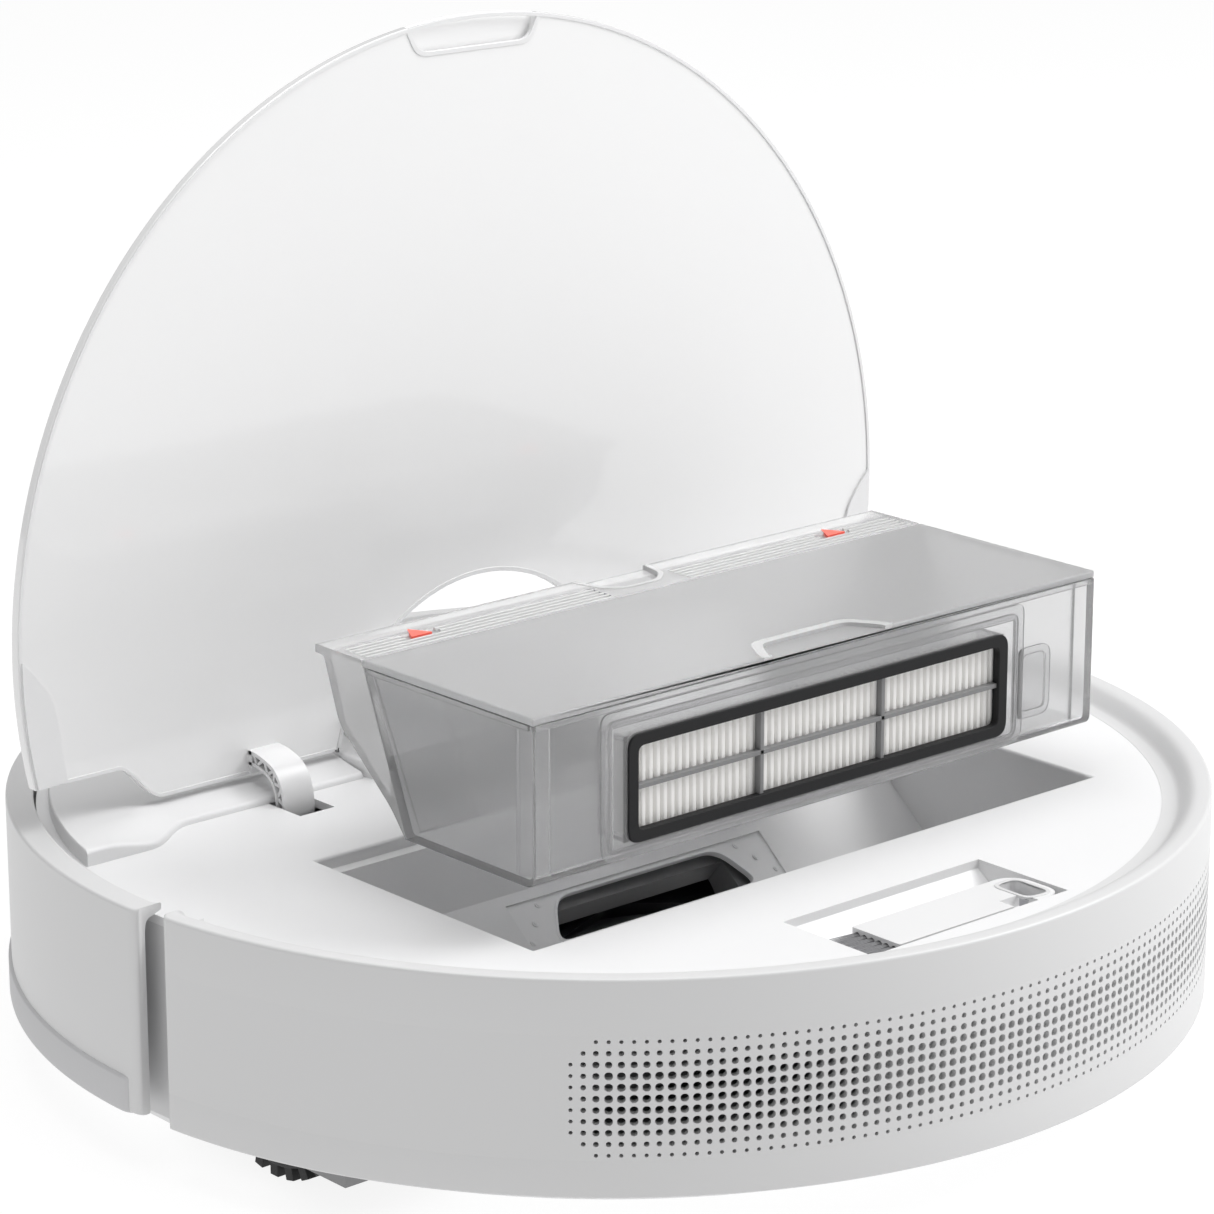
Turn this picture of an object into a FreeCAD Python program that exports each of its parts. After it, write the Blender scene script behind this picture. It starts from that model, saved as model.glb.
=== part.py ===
"""Round floor-cleaning robot with its lid open and its dust bin lifted out of the bay.

Frame: millimetres, floor at z = 0, +Z up through the middle of the round body,
+Y the way the robot drives (bumper side), +X its right-hand side.
"""
import FreeCAD, Part
import Sketcher
import math
import os
import re

# name, value, meaning
SIZES = [
    ("shell_radius", 172.5, "outside of the round body"),
    ("shell_wall", 2.2, "wall of shell and bumper"),
    ("skirt_z", 16, "lower edge of shell and bumper above the floor"),
    ("rim_z", 75.5, "top of the rim round the deck"),
    ("rim_wide", 7.7, "width of the rim"),
    ("rim_deep", 5, "rim above the deck"),
    ("deck_gap", 0.8, "deck plate inside the rim"),
    ("deck_thick", 2.5, "deck plate thickness"),
    ("pan_z", 9.5, "underside of the chassis pan"),
    ("pan_thick", 2.5, "chassis pan thickness"),
    ("split_y", -17.5, "front end of the rear shell"),
    ("bumper_end_y", -7, "rear end of the bumper"),
    ("bumper_travel", 4, "how far the bumper pushes in"),
    ("band_proud", 1, "soft band stands out of the bumper"),
    ("band_top", 26.5, "top of the soft band"),
    ("bin_half", 105.5, "half width of the dust bin"),
    ("bin_deep", 90, "bin from its front lip to its rear face"),
    ("bin_tall", 46, "height of the bin"),
    ("bin_sunk", 0.5, "top of the seated bin below the deck"),
    ("bin_wall", 1.8, "bin wall"),
    ("bin_gap", 0.8, "clearance between bin and bay"),
    ("bin_lift", 62.4, "how far the bin stands lifted"),
    ("strip_deep", 20, "front strip of the bin"),
    ("mouth_half", 34, "half width of the bin's inlet"),
    ("bay_wall", 1.5, "bay liner wall"),
    ("filter_in_left", 25.5, "left end of the bin to the filter frame"),
    ("filter_in_right", 31.5, "right end of the bin to the filter frame"),
    ("filter_foot", 2.5, "floor of the bin to the filter frame"),
    ("filter_head", 6.5, "filter frame to the top of the bin"),
    ("filter_deep", 13, "depth of the filter cassette"),
    ("hinge_y", 54.5, "lid hinge axis"),
    ("hinge_drop", 7, "lid hinge axis below the rim"),
    ("lid_gap", 2.4, "lid disc inside the rim"),
    ("lid_drop", 0.5, "outside of the closed lid below the rim"),
    ("lid_thick", 3.2, "lid thickness"),
    ("lid_front", 46.5, "front edge of the closed lid, middle part"),
    ("lid_ear", 35.5, "front edge of the closed lid, at its ears"),
    ("turret_y", 57, "axis of the scanner turret"),
    ("turret_radius", 42, "scanner turret"),
    ("turret_tall", 21.5, "turret above the rim"),
    ("collar_wide", 10.3, "collar round the turret"),
    ("bite_gap", 1.7, "lid's bite outside the collar"),
    ("arm_x", 80.5, "middle of each hinge arm"),
    ("arm_wide", 10, "width of a hinge arm"),
    ("arm_reach", 13.5, "outer radius of a hinge arm"),
    ("wheel_radius", 31, "drive wheel with its lugs"),
    ("wheel_wide", 20, "drive wheel width"),
    ("wheel_out", 32.5, "end of the bin to the middle of a drive wheel"),
    ("wheel_y", -32, "drive wheel axle"),
    ("pivot_y", -2, "suspension pivot"),
    ("pivot_z", 38, "suspension pivot"),
    ("brush_y", 8, "main brush axis"),
    ("brush_z", 19, "main brush axis"),
    ("brush_radius", 18, "main brush with its fins"),
    ("brush_half", 84, "half length of the main brush"),
    ("caster_y", 118, "swivel axis of the caster"),
    ("caster_trail", 5, "caster axle behind its swivel"),
    ("caster_radius", 12.5, "caster wheel"),
    ("side_x", 98, "side brush axis"),
    ("side_y", 104, "side brush axis"),
    ("fan_y", -126, "suction fan axis"),
    ("fan_radius", 30, "suction fan housing"),
    ("fan_roof", 56, "top of the suction fan housing"),
    ("vent_z", 43.3, "middle of the exhaust field"),
    ("vent_tall", 33, "height of the exhaust field"),
    ("tray_half", 37, "half length of the tool tray"),
    ("tray_behind", 28.5, "rear face of the bin to the tool tray"),
    ("tray_deep", 33, "depth of the tool tray, front to back"),
    ("tray_shift", 7, "centre line to the tool tray's middle, to the left"),
    ("tool_sunk", 0.5, "deck to the cleaning tool's top"),
    ("running_gap", 0.06, "radial clearance of pins in their holes"),
]

# lengths and places that follow from those sizes
FOLLOWS = {
    "beyond": "(shell_radius + 60)",
    "rim_radius": "(shell_radius - rim_wide)",
    "deck_radius": "(shell_radius - rim_wide - deck_gap)",
    "lid_radius": "(shell_radius - rim_wide - lid_gap)",
    "deck_z": "(rim_z - rim_deep)",
    "bin_top": "(rim_z - rim_deep - bin_sunk)",
    "bin_back": "(-bin_deep)",
    "filter_left": "(filter_in_left - bin_half)",
    "filter_right": "(bin_half - filter_in_right)",
    "filter_low": "(rim_z - rim_deep - bin_sunk - bin_tall + filter_foot)",
    "filter_tall": "(bin_tall - filter_foot - filter_head)",
    "seam_y": "(-strip_deep - (38 - strip_deep) * 2.2 / bin_tall - 0.06)",
    "hinge_z": "(rim_z - hinge_drop)",
    "lid_top": "(rim_z - lid_drop)",
    "turret_top": "(rim_z + turret_tall)",
    "collar_radius": "(turret_radius + collar_wide)",
    "wheel_x": "(bin_half + wheel_out)",
    "tray_front": "(-bin_deep - tray_behind)",
    "tray_back": "(-bin_deep - tray_behind - tray_deep)",
}

doc = FreeCAD.newDocument("floor_robot")
sheet = doc.addObject("Spreadsheet::Sheet", "Sizes")
for row, (alias, value, meaning) in enumerate(SIZES, start=1):
    sheet.set(f"A{row}", meaning)
    sheet.set(f"B{row}", str(value))
    sheet.setAlias(f"B{row}", alias)
doc.recompute()
# side view of the bin's front, from its lip down to its floor, as (y, z)
BIN_FRONT = [("0", "bin_top - 2.4"), ("-3.6", "bin_top - 2.6"), ("-10", "bin_top - 20.5"),
             ("-31.5", "bin_top - 38.5"), ("-38", "bin_top - bin_tall")]
# slope of the inlet wall, in degrees
SLOPE = 39.9
# the right pointer on the bin's strip, as (x, y)
MARK = [("78.5 - 3.6", "-12.6"), ("78.5 + 3.6", "-12.6"), ("78.5", "-5.8")]
NAME = re.compile(r"\b(" + "|".join(alias for alias, _, _ in SIZES) + r")\b")
FOLLOWER = re.compile(r"\b(" + "|".join(FOLLOWS) + r")\b")
nodes = []


def rule(text):
    """A size written with the sheet's names, as an expression of the document."""
    whole = FOLLOWER.sub(lambda found: FOLLOWS[found.group(0)], str(text))
    return NAME.sub(r"Sizes.\1", whole)


def number(text):
    """The present value of such a size, for a feature that takes plain numbers."""
    holder = doc.getObject("Reader") or doc.addObject("App::FeaturePython", "Reader")
    if "Reading" not in holder.PropertiesList:
        holder.addProperty("App::PropertyFloat", "Reading")
    holder.setExpression("Reading", rule(text))
    holder.recompute()
    return holder.Reading


def place(piece, x="0", y="0", z="0"):
    """Bind a piece's position to sizes."""
    for letter, text in zip("xyz", (x, y, z)):
        piece.setExpression(f"Placement.Base.{letter}", rule(text))
    return piece


def turn(piece, axis, degrees):
    """Give a piece its fixed direction."""
    piece.Placement.Rotation = FreeCAD.Rotation(FreeCAD.Vector(*axis), degrees)
    return piece


def box(x, y, z):
    """A block between a low and a high value on each axis."""
    piece = doc.addObject("Part::Box", "Block")
    for side, (low, high) in zip(("Length", "Width", "Height"), (x, y, z)):
        piece.setExpression(side, rule(f"({high}) - ({low})"))
    return place(piece, x[0], y[0], z[0])


def rod(axis, centre, radius, span):
    """A round bar along X, Y or Z through a centre line, between two values."""
    piece = doc.addObject("Part::Cylinder", "Rod")
    piece.setExpression("Radius", rule(radius))
    piece.setExpression("Height", rule(f"({span[1]}) - ({span[0]})"))
    if axis == "X":
        turn(piece, (0, 1, 0), 90)
        return place(piece, span[0], centre[0], centre[1])
    if axis == "Y":
        turn(piece, (1, 0, 0), -90)
        return place(piece, centre[0], span[0], centre[1])
    return place(piece, centre[0], centre[1], span[0])


def spoke(angle, start, reach, wide, span, centre=("0", "0")):
    """A flat bar that points away from a vertical axis, between two heights."""
    piece = doc.addObject("Part::Box", "Spoke")
    piece.setExpression("Length", rule(reach))
    piece.setExpression("Width", rule(wide))
    piece.setExpression("Height", rule(f"({span[1]}) - ({span[0]})"))
    turn(piece, (0, 0, 1), angle)
    across, along = math.cos(math.radians(angle)), math.sin(math.radians(angle))
    return place(piece,
                 f"{centre[0]} + ({start}) * {across:.6f} + ({wide}) / 2 * {along:.6f}",
                 f"{centre[1]} + ({start}) * {along:.6f} - ({wide}) / 2 * {across:.6f}", span[0])


def paddle(angle, start, reach, wide, span, centre):
    """A flat bar that points away from an axis along X, between two X values."""
    piece = doc.addObject("Part::Box", "Paddle")
    piece.setExpression("Length", rule(f"({span[1]}) - ({span[0]})"))
    piece.setExpression("Width", rule(reach))
    piece.setExpression("Height", rule(wide))
    turn(piece, (1, 0, 0), angle)
    along, up = math.cos(math.radians(angle)), math.sin(math.radians(angle))
    return place(piece, span[0],
                 f"{centre[0]} + ({start}) * {along:.6f} + ({wide}) / 2 * {up:.6f}",
                 f"{centre[1]} + ({start}) * {up:.6f} - ({wide}) / 2 * {along:.6f}")


def fuse(*pieces):
    """One piece from several that touch."""
    joined = doc.addObject("Part::MultiFuse", "Joined")
    joined.Shapes = list(pieces)
    joined.Refine = True
    return joined


def cut(base, *tools):
    """A piece with others taken out of it."""
    result = doc.addObject("Part::Cut", "Trimmed")
    result.Base = base
    result.Tool = tools[0] if len(tools) == 1 else fuse(*tools)
    return result


def common(first, second):
    """What two pieces share."""
    result = doc.addObject("Part::Common", "Shared")
    result.Base = first
    result.Tool = second
    return result


def sketch_on(body, role, points, offset="0"):
    """A closed outline on one of the body's own planes, each corner bound to sizes."""
    plane = [item for item in body.Origin.OriginFeatures if item.Role == role][0]
    outline = body.newObject("Sketcher::SketchObject", "Outline")
    outline.AttachmentSupport = [(plane, "")]
    outline.MapMode = "FlatFace"
    outline.setExpression("AttachmentOffset.Base.z", rule(offset))
    corners = [(number(a), number(b)) for a, b in points]
    count = len(points)
    for here in range(count):
        start = FreeCAD.Vector(*corners[here], 0)
        end = FreeCAD.Vector(*corners[(here + 1) % count], 0)
        outline.addGeometry(Part.LineSegment(start, end), False)
    for here in range(count):
        outline.addConstraint(Sketcher.Constraint("Coincident", here, 2, (here + 1) % count, 1))
    for here, (across, along) in enumerate(points):
        for kind, text, value in (("DistanceX", across, corners[here][0]),
                                  ("DistanceY", along, corners[here][1])):
            place_of = outline.addConstraint(Sketcher.Constraint(kind, -1, 1, here, 1, value))
            outline.setExpression(f"Constraints[{place_of}]", rule(text))
    return outline


def slab(role, points, span):
    """A flat outline given thickness: XY upward, YZ towards +X, XZ between two Y values."""
    body = doc.addObject("PartDesign::Body", "Slab")
    start = f"-({span[1]})" if role == "XZ_Plane" else span[0]
    outline = sketch_on(body, role, points, start)
    pad = body.newObject("PartDesign::Pad", "Thickness")
    pad.Profile = outline
    pad.setExpression("Length", rule(f"({span[1]}) - ({span[0]})"))
    return body


def turned(points):
    """An outline of radius and height, turned a full circle about Z."""
    body = doc.addObject("PartDesign::Body", "Turned")
    outline = sketch_on(body, "XZ_Plane", points)
    ring = body.newObject("PartDesign::Revolution", "Turn")
    ring.Profile = outline
    ring.ReferenceAxis = (outline, ["V_Axis"])
    ring.Angle = 360
    return body


def rounded(base, radius, chosen):
    """Round the edges that a test of their middle point picks out."""
    doc.recompute()
    result = doc.addObject("Part::Fillet", "Rounded")
    result.Base = base
    size = number(radius)
    picked = []
    for index, edge in enumerate(base.Shape.Edges, start=1):
        middle = edge.valueAt((edge.FirstParameter + edge.LastParameter) / 2)
        if chosen(edge, middle):
            picked.append((index, size, size))
    result.Edges = picked
    return result


def mirrored(piece):
    """The same piece on the other side of the robot."""
    result = doc.addObject("Part::Mirroring", "Mirrored")
    result.Source = piece
    result.Normal = FreeCAD.Vector(1, 0, 0)
    return result


def node(label, piece):
    """Name a finished sub-part."""
    piece.Label = label
    nodes.append(piece)
    return piece


# ---------------------------------------------------------------- chassis

def wheel_gap():
    """Room for one drive wheel and its arm, open below."""
    return box(("wheel_x - wheel_wide / 2 - 16", "wheel_x + wheel_wide / 2 + 2.5"),
               ("wheel_y - wheel_radius - 4.5", "pivot_y + 9"),
               ("pan_z - 1", "deck_z - deck_thick - 2.5"))


def chassis_pan():
    """Flat pan with an upturned lip behind, a straight wall in front and the caster's cup."""
    lip = turned([
        ("0", "pan_z"), ("158", "pan_z"), ("shell_radius - shell_wall - 0.3", "skirt_z"),
        ("shell_radius - shell_wall - 0.3", "skirt_z + 4"),
        ("shell_radius - shell_wall - 2.5", "skirt_z + 4"),
        ("shell_radius - shell_wall - 2.5", "skirt_z + 1.2"),
        ("157", "pan_z + pan_thick"), ("0", "pan_z + pan_thick")])
    rear = common(lip, box(("-beyond", "beyond"), ("-beyond", "split_y"), ("0", "40")))
    wall_in = "deck_radius - 2.4"
    plate = turned([
        ("0", "pan_z"), ("deck_radius - 4", "pan_z"), ("deck_radius", "pan_z + 4"),
        ("deck_radius", "deck_z - deck_thick"), (wall_in, "deck_z - deck_thick"),
        (wall_in, "pan_z + pan_thick"), ("0", "pan_z + pan_thick")])
    front = common(plate, box(("-beyond", "beyond"), ("split_y", "beyond"), ("0", "rim_z + 1")))
    cup = rod("Z", ("0", "caster_y"), "21.5", ("pan_z", "34"))
    pan = fuse(rear, front, cup)
    cup_room = rod("Z", ("0", "caster_y"), "19.5", ("pan_z - 1", "31.5"))
    stem_hole = rod("Z", ("0", "caster_y"), "3 + running_gap", ("30", "35"))
    brush_gap = box(("-brush_half - 6", "brush_half + 6"), ("brush_y - 24", "brush_y + 22"),
                    ("pan_z - 1", "pan_z + pan_thick + 1"))
    side_hole = rod("Z", ("side_x", "side_y"), "9", ("pan_z - 1", "pan_z + pan_thick + 1"))
    battery_gap = box(("-68", "68"), ("38", "78"), ("pan_z - 1", "pan_z + pan_thick + 1"))
    wheel_hole = box(("wheel_x - wheel_wide / 2 - 17.5", "wheel_x + wheel_wide / 2 + 4"),
                     ("wheel_y - wheel_radius - 6", "pivot_y + 10.5"), ("pan_z - 1", "skirt_z + 1.5"))
    return cut(pan, cup_room, stem_hole, brush_gap, side_hole, battery_gap, wheel_hole,
               mirrored(wheel_hole))


def rear_shell():
    """Side wall behind the bumper, with the rim round the deck and two fields of exhaust slots."""
    ring = turned([
        ("shell_radius - shell_wall", "skirt_z"), ("shell_radius", "skirt_z"),
        ("shell_radius", "rim_z - 3.4"), ("shell_radius - 1", "rim_z - 1"),
        ("shell_radius - 3.4", "rim_z"), ("rim_radius", "rim_z"),
        ("rim_radius", "deck_z - deck_thick"), ("shell_radius - shell_wall", "deck_z - deck_thick")])
    half = common(ring, box(("-beyond", "beyond"), ("-beyond", "split_y"), ("0", "rim_z + 1")))
    slots = []
    for column in range(-18, 19):
        tall = "vent_tall" if abs(column) < 18 else "(vent_tall * 0.7)"
        slots.append(spoke(-90 + column * 2.45, "shell_radius - 5", "8", "2.2",
                           (f"vent_z - {tall} / 2", f"vent_z + {tall} / 2")))
    return cut(half, *slots)


def exhaust_baffle():
    """Curved backing wall behind the middle of the exhaust field, between two ribs."""
    wall = cut(rod("Z", ("0", "0"), "shell_radius - 6.5", ("skirt_z + 6", "deck_z - deck_thick - 4")),
               rod("Z", ("0", "0"), "shell_radius - 8.5", ("skirt_z + 5", "deck_z - deck_thick - 3")))
    return common(wall, box(("-52", "52"), ("-beyond", "-100"), ("0", "rim_z + 1")))


def deck():
    """Top plate: openings for bin bay, tool tray, turret and the two hinge arms."""
    plate = rod("Z", ("0", "0"), "deck_radius", ("deck_z - deck_thick", "deck_z"))
    low, high = "deck_z - deck_thick - 1", "deck_z + 1"
    bay = box(("-bin_half - bin_gap", "bin_half + bin_gap"), ("bin_back - bin_gap", "bin_gap"), (low, high))
    tray = box(("-tray_half - tray_shift", "tray_half - tray_shift"), ("tray_back", "tray_front"), (low, high))
    eye = rod("Z", ("0", "turret_y"), "34", (low, high))
    slots = [box((f"{side} * arm_x - arm_wide / 2 - 1.2", f"{side} * arm_x + arm_wide / 2 + 1.2"),
                 ("hinge_y - arm_reach - 8", "hinge_y + arm_reach + 1.5"), (low, high))
             for side in (-1, 1)]
    return rounded(cut(plate, bay, tray, eye, *slots), "1", is_bay_edge)


def is_bay_edge(edge, middle):
    """The upper edges of the bay opening."""
    level = abs(middle.z - number("deck_z")) < 0.01
    on_end = abs(abs(middle.x) - number("bin_half + bin_gap")) < 0.01 and middle.y < 0
    on_side = abs(middle.x) < 0.01 and min(
        abs(middle.y - number("bin_back - bin_gap")), abs(middle.y - number("bin_gap"))) < 0.01
    return level and (on_end or on_side)


def front_cover():
    """Fixed cover in front of the lid, scooped along its rear edge and open round the turret."""
    side, edge_y, ear_y = "117.5", "lid_front + 1", "lid_ear + 2"
    span = ("deck_z", "rim_z - 0.5")
    ahead = slab("XY_Plane", [("-beyond", "beyond"), ("-beyond", ear_y), ("-134", ear_y), (f"-{side}", edge_y),
                              (side, edge_y), ("134", ear_y), ("beyond", ear_y), ("beyond", "beyond")], span)
    cover = common(rod("Z", ("0", "0"), "deck_radius - bumper_travel - 1", span), ahead)
    eye = rod("Z", ("0", "turret_y"), "collar_radius + 0.3", ("deck_z - 1", "rim_z + 1"))
    scoop = cut(box((f"-{side} - 2", f"{side} + 2"), ("lid_front - 2", "hinge_y"),
                    ("deck_z - 1", "rim_z + 1")),
                rod("X", ("hinge_y", "hinge_z"), "8", ("-130", "130")))
    slots = [box((f"{way} * arm_x - arm_wide / 2 - 1.2", f"{way} * arm_x + arm_wide / 2 + 1.2"),
                 ("lid_front - 2", "hinge_y + arm_reach + 1"), ("deck_z - 1", "rim_z + 1"))
             for way in (-1, 1)]
    keys = [rod("Z", (f"{way} * 17", "134"), "7.4", ("deck_z - 1", "rim_z + 1")) for way in (-1, 1)]
    return cut(cover, eye, scoop, *slots, *keys)


def bin_bay():
    """Open tub under the deck whose front wall follows the bin's slanting front."""
    top = "deck_z - deck_thick"

    def tub(grow, floor):
        front = [(f"{y} + {grow}", f"{z} - {grow}") for y, z in BIN_FRONT[:-1]]
        return [("bin_back - " + grow, floor), ("bin_back - " + grow, top), (grow, top),
                *front, ("-38 + " + grow, floor)]
    inner_floor = "bin_top - bin_tall - bin_gap"
    outer = slab("YZ_Plane", tub("(bin_gap + bay_wall * 1.2)", inner_floor + " - bay_wall"),
                 ("-bin_half - bin_gap - bay_wall", "bin_half + bin_gap + bay_wall"))
    inner = slab("YZ_Plane", tub("bin_gap", inner_floor),
                 ("-bin_half - bin_gap", "bin_half + bin_gap"))
    inlet = slanted_block(("-49", "49"), 21, ("-3", "3"))
    outlet = box(("filter_left + 14", "filter_right - 14"), ("bin_back - 8", "bin_back + 1"),
                 ("filter_low + 5.5", "filter_low + filter_tall - 8.5"))
    return cut(outer, inner, inlet, outlet)


def slanted_block(x, along, depth):
    """A block lying on the slanting inlet wall: its length runs up the slope."""
    piece = doc.addObject("Part::Box", "Slanted")
    piece.setExpression("Length", rule(f"({x[1]}) - ({x[0]})"))
    piece.Width = along
    piece.setExpression("Height", rule(f"({depth[1]}) - ({depth[0]})"))
    turn(piece, (1, 0, 0), SLOPE)
    return on_slope(piece, x[0], -along / 2, depth[0])


def on_slope(piece, x, up, out):
    """Put a piece on the inlet wall: up the slope from its middle, and out of the wall."""
    along, rise = math.cos(math.radians(SLOPE)), math.sin(math.radians(SLOPE))
    return place(piece, x, f"-20.75 + bin_gap + {up * along:.4f} - ({out}) * {rise:.6f}",
                 f"bin_top - 29.9 + {up * rise:.4f} + ({out}) * {along:.6f}")


def inlet_plate():
    """Seal plate in the inlet wall with its slot, and studs along its ends and lower edge."""
    plate = slanted_block(("-48.5", "48.5"), 20.4, ("-1.6", "-0.2"))
    slot = slanted_block(("-mouth_half", "mouth_half"), 13, ("-6", "6"))
    ends = [slanted_block((low, high), 40, ("-3", "3")) for low, high in (("-80", "-46"), ("46", "80"))]
    studs = []
    for x, up in [(side * (41 - 1.3 * step), -4 + 5 * step) for side in (-1, 1) for step in range(3)] \
            + [(-35 + 10 * step, -8.4) for step in range(8)]:
        stud = doc.addObject("Part::Cylinder", "Stud")
        stud.Radius = 0.9
        stud.Height = 0.9
        turn(stud, (1, 0, 0), SLOPE)
        studs.append(on_slope(stud, f"{x}", up, "-0.5"))
    return fuse(cut(plate, slot, *ends), *studs)


def brush_housing():
    """Block over the main brush: round chamber open below and a duct to the inlet."""
    side = "(brush_half + 6)"
    floor = "pan_z + pan_thick"
    block = slab("YZ_Plane", [
        ("-32", floor), ("-32", "bin_top - 46"), ("-6.5", "bin_top - 25"), ("3", "bin_top - 21"),
        ("brush_y + 22", "bin_top - 29"), ("brush_y + 22", floor)], (f"-{side}", side))
    room = ("-brush_half - 2", "brush_half + 2")
    chamber = rod("X", ("brush_y", "brush_z"), "brush_radius + 2", room)
    below = box(room, ("brush_y - brush_radius - 1", "brush_y + brush_radius + 1"), ("0", "brush_z"))
    duct = slanted_block(("-mouth_half", "mouth_half"), 13, ("-24", "4"))
    ends = [rod("X", ("brush_y", "brush_z"), "4 + running_gap",
                (f"{way} * (brush_half + 4) - 3.5", f"{way} * (brush_half + 4) + 3.5"))
            for way in (-1, 1)]
    return cut(block, chamber, below, duct, *ends)


def bare(*pieces):
    """Pieces of one node that do not all touch."""
    group = doc.addObject("Part::Compound", "Group")
    group.Links = list(pieces)
    return group


def wheel_housing():
    """Box over the right drive wheel, open below, that carries the suspension pivot."""
    outer = box(("wheel_x - wheel_wide / 2 - 17.3", "wheel_x + wheel_wide / 2 + 3.8"),
                ("wheel_y - wheel_radius - 5.8", "pivot_y + 10.3"),
                ("pan_z + 0.5", "deck_z - deck_thick - 1"))
    pin = rod("X", ("pivot_y", "pivot_z"), "2.5",
              ("wheel_x - wheel_wide / 2 - 17", "wheel_x - wheel_wide / 2 - 2"))
    hollow = cut(outer, wheel_gap())
    return fuse(hollow, pin)


def drive_arm():
    """Gearbox arm between the suspension pivot and the right drive wheel."""
    inner, outer = "wheel_x - wheel_wide / 2 - 14.5", "wheel_x - wheel_wide / 2 - 2"
    hub = rod("X", ("wheel_y", "wheel_radius"), "14", (inner, outer))
    root = rod("X", ("pivot_y", "pivot_z"), "7.5", (inner, outer))
    web = slab("YZ_Plane", [("wheel_y", "wheel_radius - 12"), ("pivot_y", "pivot_z - 7.4"),
                            ("pivot_y", "pivot_z + 7.4"), ("wheel_y", "wheel_radius + 13.6")],
               (inner, outer))
    axle = rod("X", ("wheel_y", "wheel_radius"), "4", (outer, "wheel_x + wheel_wide / 2 - 2"))
    hole = rod("X", ("pivot_y", "pivot_z"), "2.5 + running_gap", (inner + " - 1", outer + " + 1"))
    return cut(fuse(hub, root, web, axle), hole)


def drive_hub():
    """Right wheel's rim and disc, turning on the axle."""
    disc = rod("X", ("wheel_y", "wheel_radius"), "wheel_radius - 6",
               ("wheel_x - wheel_wide / 2", "wheel_x + wheel_wide / 2"))
    bore = rod("X", ("wheel_y", "wheel_radius"), "4 + running_gap",
               ("wheel_x - wheel_wide / 2 - 1", "wheel_x + wheel_wide / 2 - 1.9"))
    dish = rod("X", ("wheel_y", "wheel_radius"), "wheel_radius - 9",
               ("wheel_x + wheel_wide / 2 - 1.5", "wheel_x + wheel_wide / 2 + 1"))
    return cut(disc, bore, dish)


def drive_tyre():
    """Right wheel's tyre with lugs in two staggered rows."""
    span = ("wheel_x - wheel_wide / 2", "wheel_x + wheel_wide / 2")
    axle = ("wheel_y", "wheel_radius")
    band = cut(rod("X", axle, "wheel_radius - 3", span),
               rod("X", axle, "wheel_radius - 6", (span[0] + " - 1", span[1] + " + 1")))
    lugs = []
    for row, across in enumerate(((span[0], "wheel_x + 1"), ("wheel_x - 1", span[1]))):
        for step in range(18):
            lugs.append(paddle((step + row / 2) * 20, "wheel_radius - 4.2", "4.2",
                               "wheel_radius * 0.17", across, axle))
    return fuse(band, *lugs)


# ---------------------------------------------------------------- turret

def turret_collar():
    """Ring round the turret, level with the front cover."""
    return turned_at(("0", "turret_y", "0"), [
        ("34.5", "deck_z"), ("collar_radius", "deck_z"), ("collar_radius", "rim_z - 1.2"),
        ("collar_radius - 1.2", "rim_z"), ("turret_radius + 1", "rim_z"),
        ("turret_radius - 1", "rim_z - 2"), ("34.5", "rim_z - 2")])


def turned_at(centre, points):
    """A turned piece standing on its own axis."""
    return place(turned(points), *centre)


def turret_cage():
    """Fixed top of the turret on six posts, with a window all round."""
    foot = turned([("35.5", "rim_z - 1.8"), ("turret_radius - 1.2", "rim_z - 1.8"),
                   ("turret_radius", "rim_z + 0.2"),
                   ("turret_radius", "rim_z + 4.5"), ("35.5", "rim_z + 4.5")])
    cap = turned([("0", "turret_top - 3"), ("35.5", "turret_top - 3"), ("35.5", "turret_top - 6.5"),
                  ("turret_radius", "turret_top - 6.5"), ("turret_radius", "turret_top - 2.5"),
                  ("turret_radius - 2.5", "turret_top"), ("0", "turret_top")])
    posts = []
    for step in range(6):
        angle = math.radians(30 + step * 60)
        posts.append(rod("Z", (f"(turret_radius - 3.2) * {math.cos(angle):.6f}",
                               f"(turret_radius - 3.2) * {math.sin(angle):.6f}"),
                         "2.4", ("rim_z + 4", "turret_top - 6")))
    return place(fuse(foot, cap, *posts), "0", "turret_y", "0")


def lidar_head():
    """Spinning scanner head with its two lens barrels."""
    drum = rod("Z", ("0", "turret_y"), "32", ("deck_z + 2", "turret_top - 4"))
    lenses = [rod("Y", (f"{side} * 8", "rim_z + 9"), "4.5", ("turret_y + 26", "turret_y + 32.8"))
              for side in (-1, 1)]
    shaft = rod("Z", ("0", "turret_y"), "6", ("deck_z - deck_thick - 3", "deck_z + 2"))
    return fuse(drum, *lenses, shaft)


def lidar_mount():
    """Bearing plate under the turret with the small drive motor beside it."""
    plate = rod("Z", ("0", "turret_y"), "33", ("deck_z - deck_thick - 6", "deck_z - deck_thick"))
    hole = rod("Z", ("0", "turret_y"), "6 + running_gap", ("deck_z - 20", "deck_z + 2"))
    motor = rod("Z", ("24", "turret_y + 16"), "8", ("deck_z - deck_thick - 14", "deck_z - deck_thick - 5"))
    return fuse(cut(plate, hole), motor)


# ---------------------------------------------------------------- lid, drawn closed

def open_lid(piece):
    """Swing a lid piece, drawn closed, up to its open place."""
    doc.recompute()
    holder = doc.addObject("Part::Compound", "Opened")
    holder.Links = [piece]
    holder.Placement.Rotation = FreeCAD.Rotation(FreeCAD.Vector(1, 0, 0), -90)
    return place(holder, "0", "hinge_y - hinge_z", "hinge_z + hinge_y")


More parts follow.
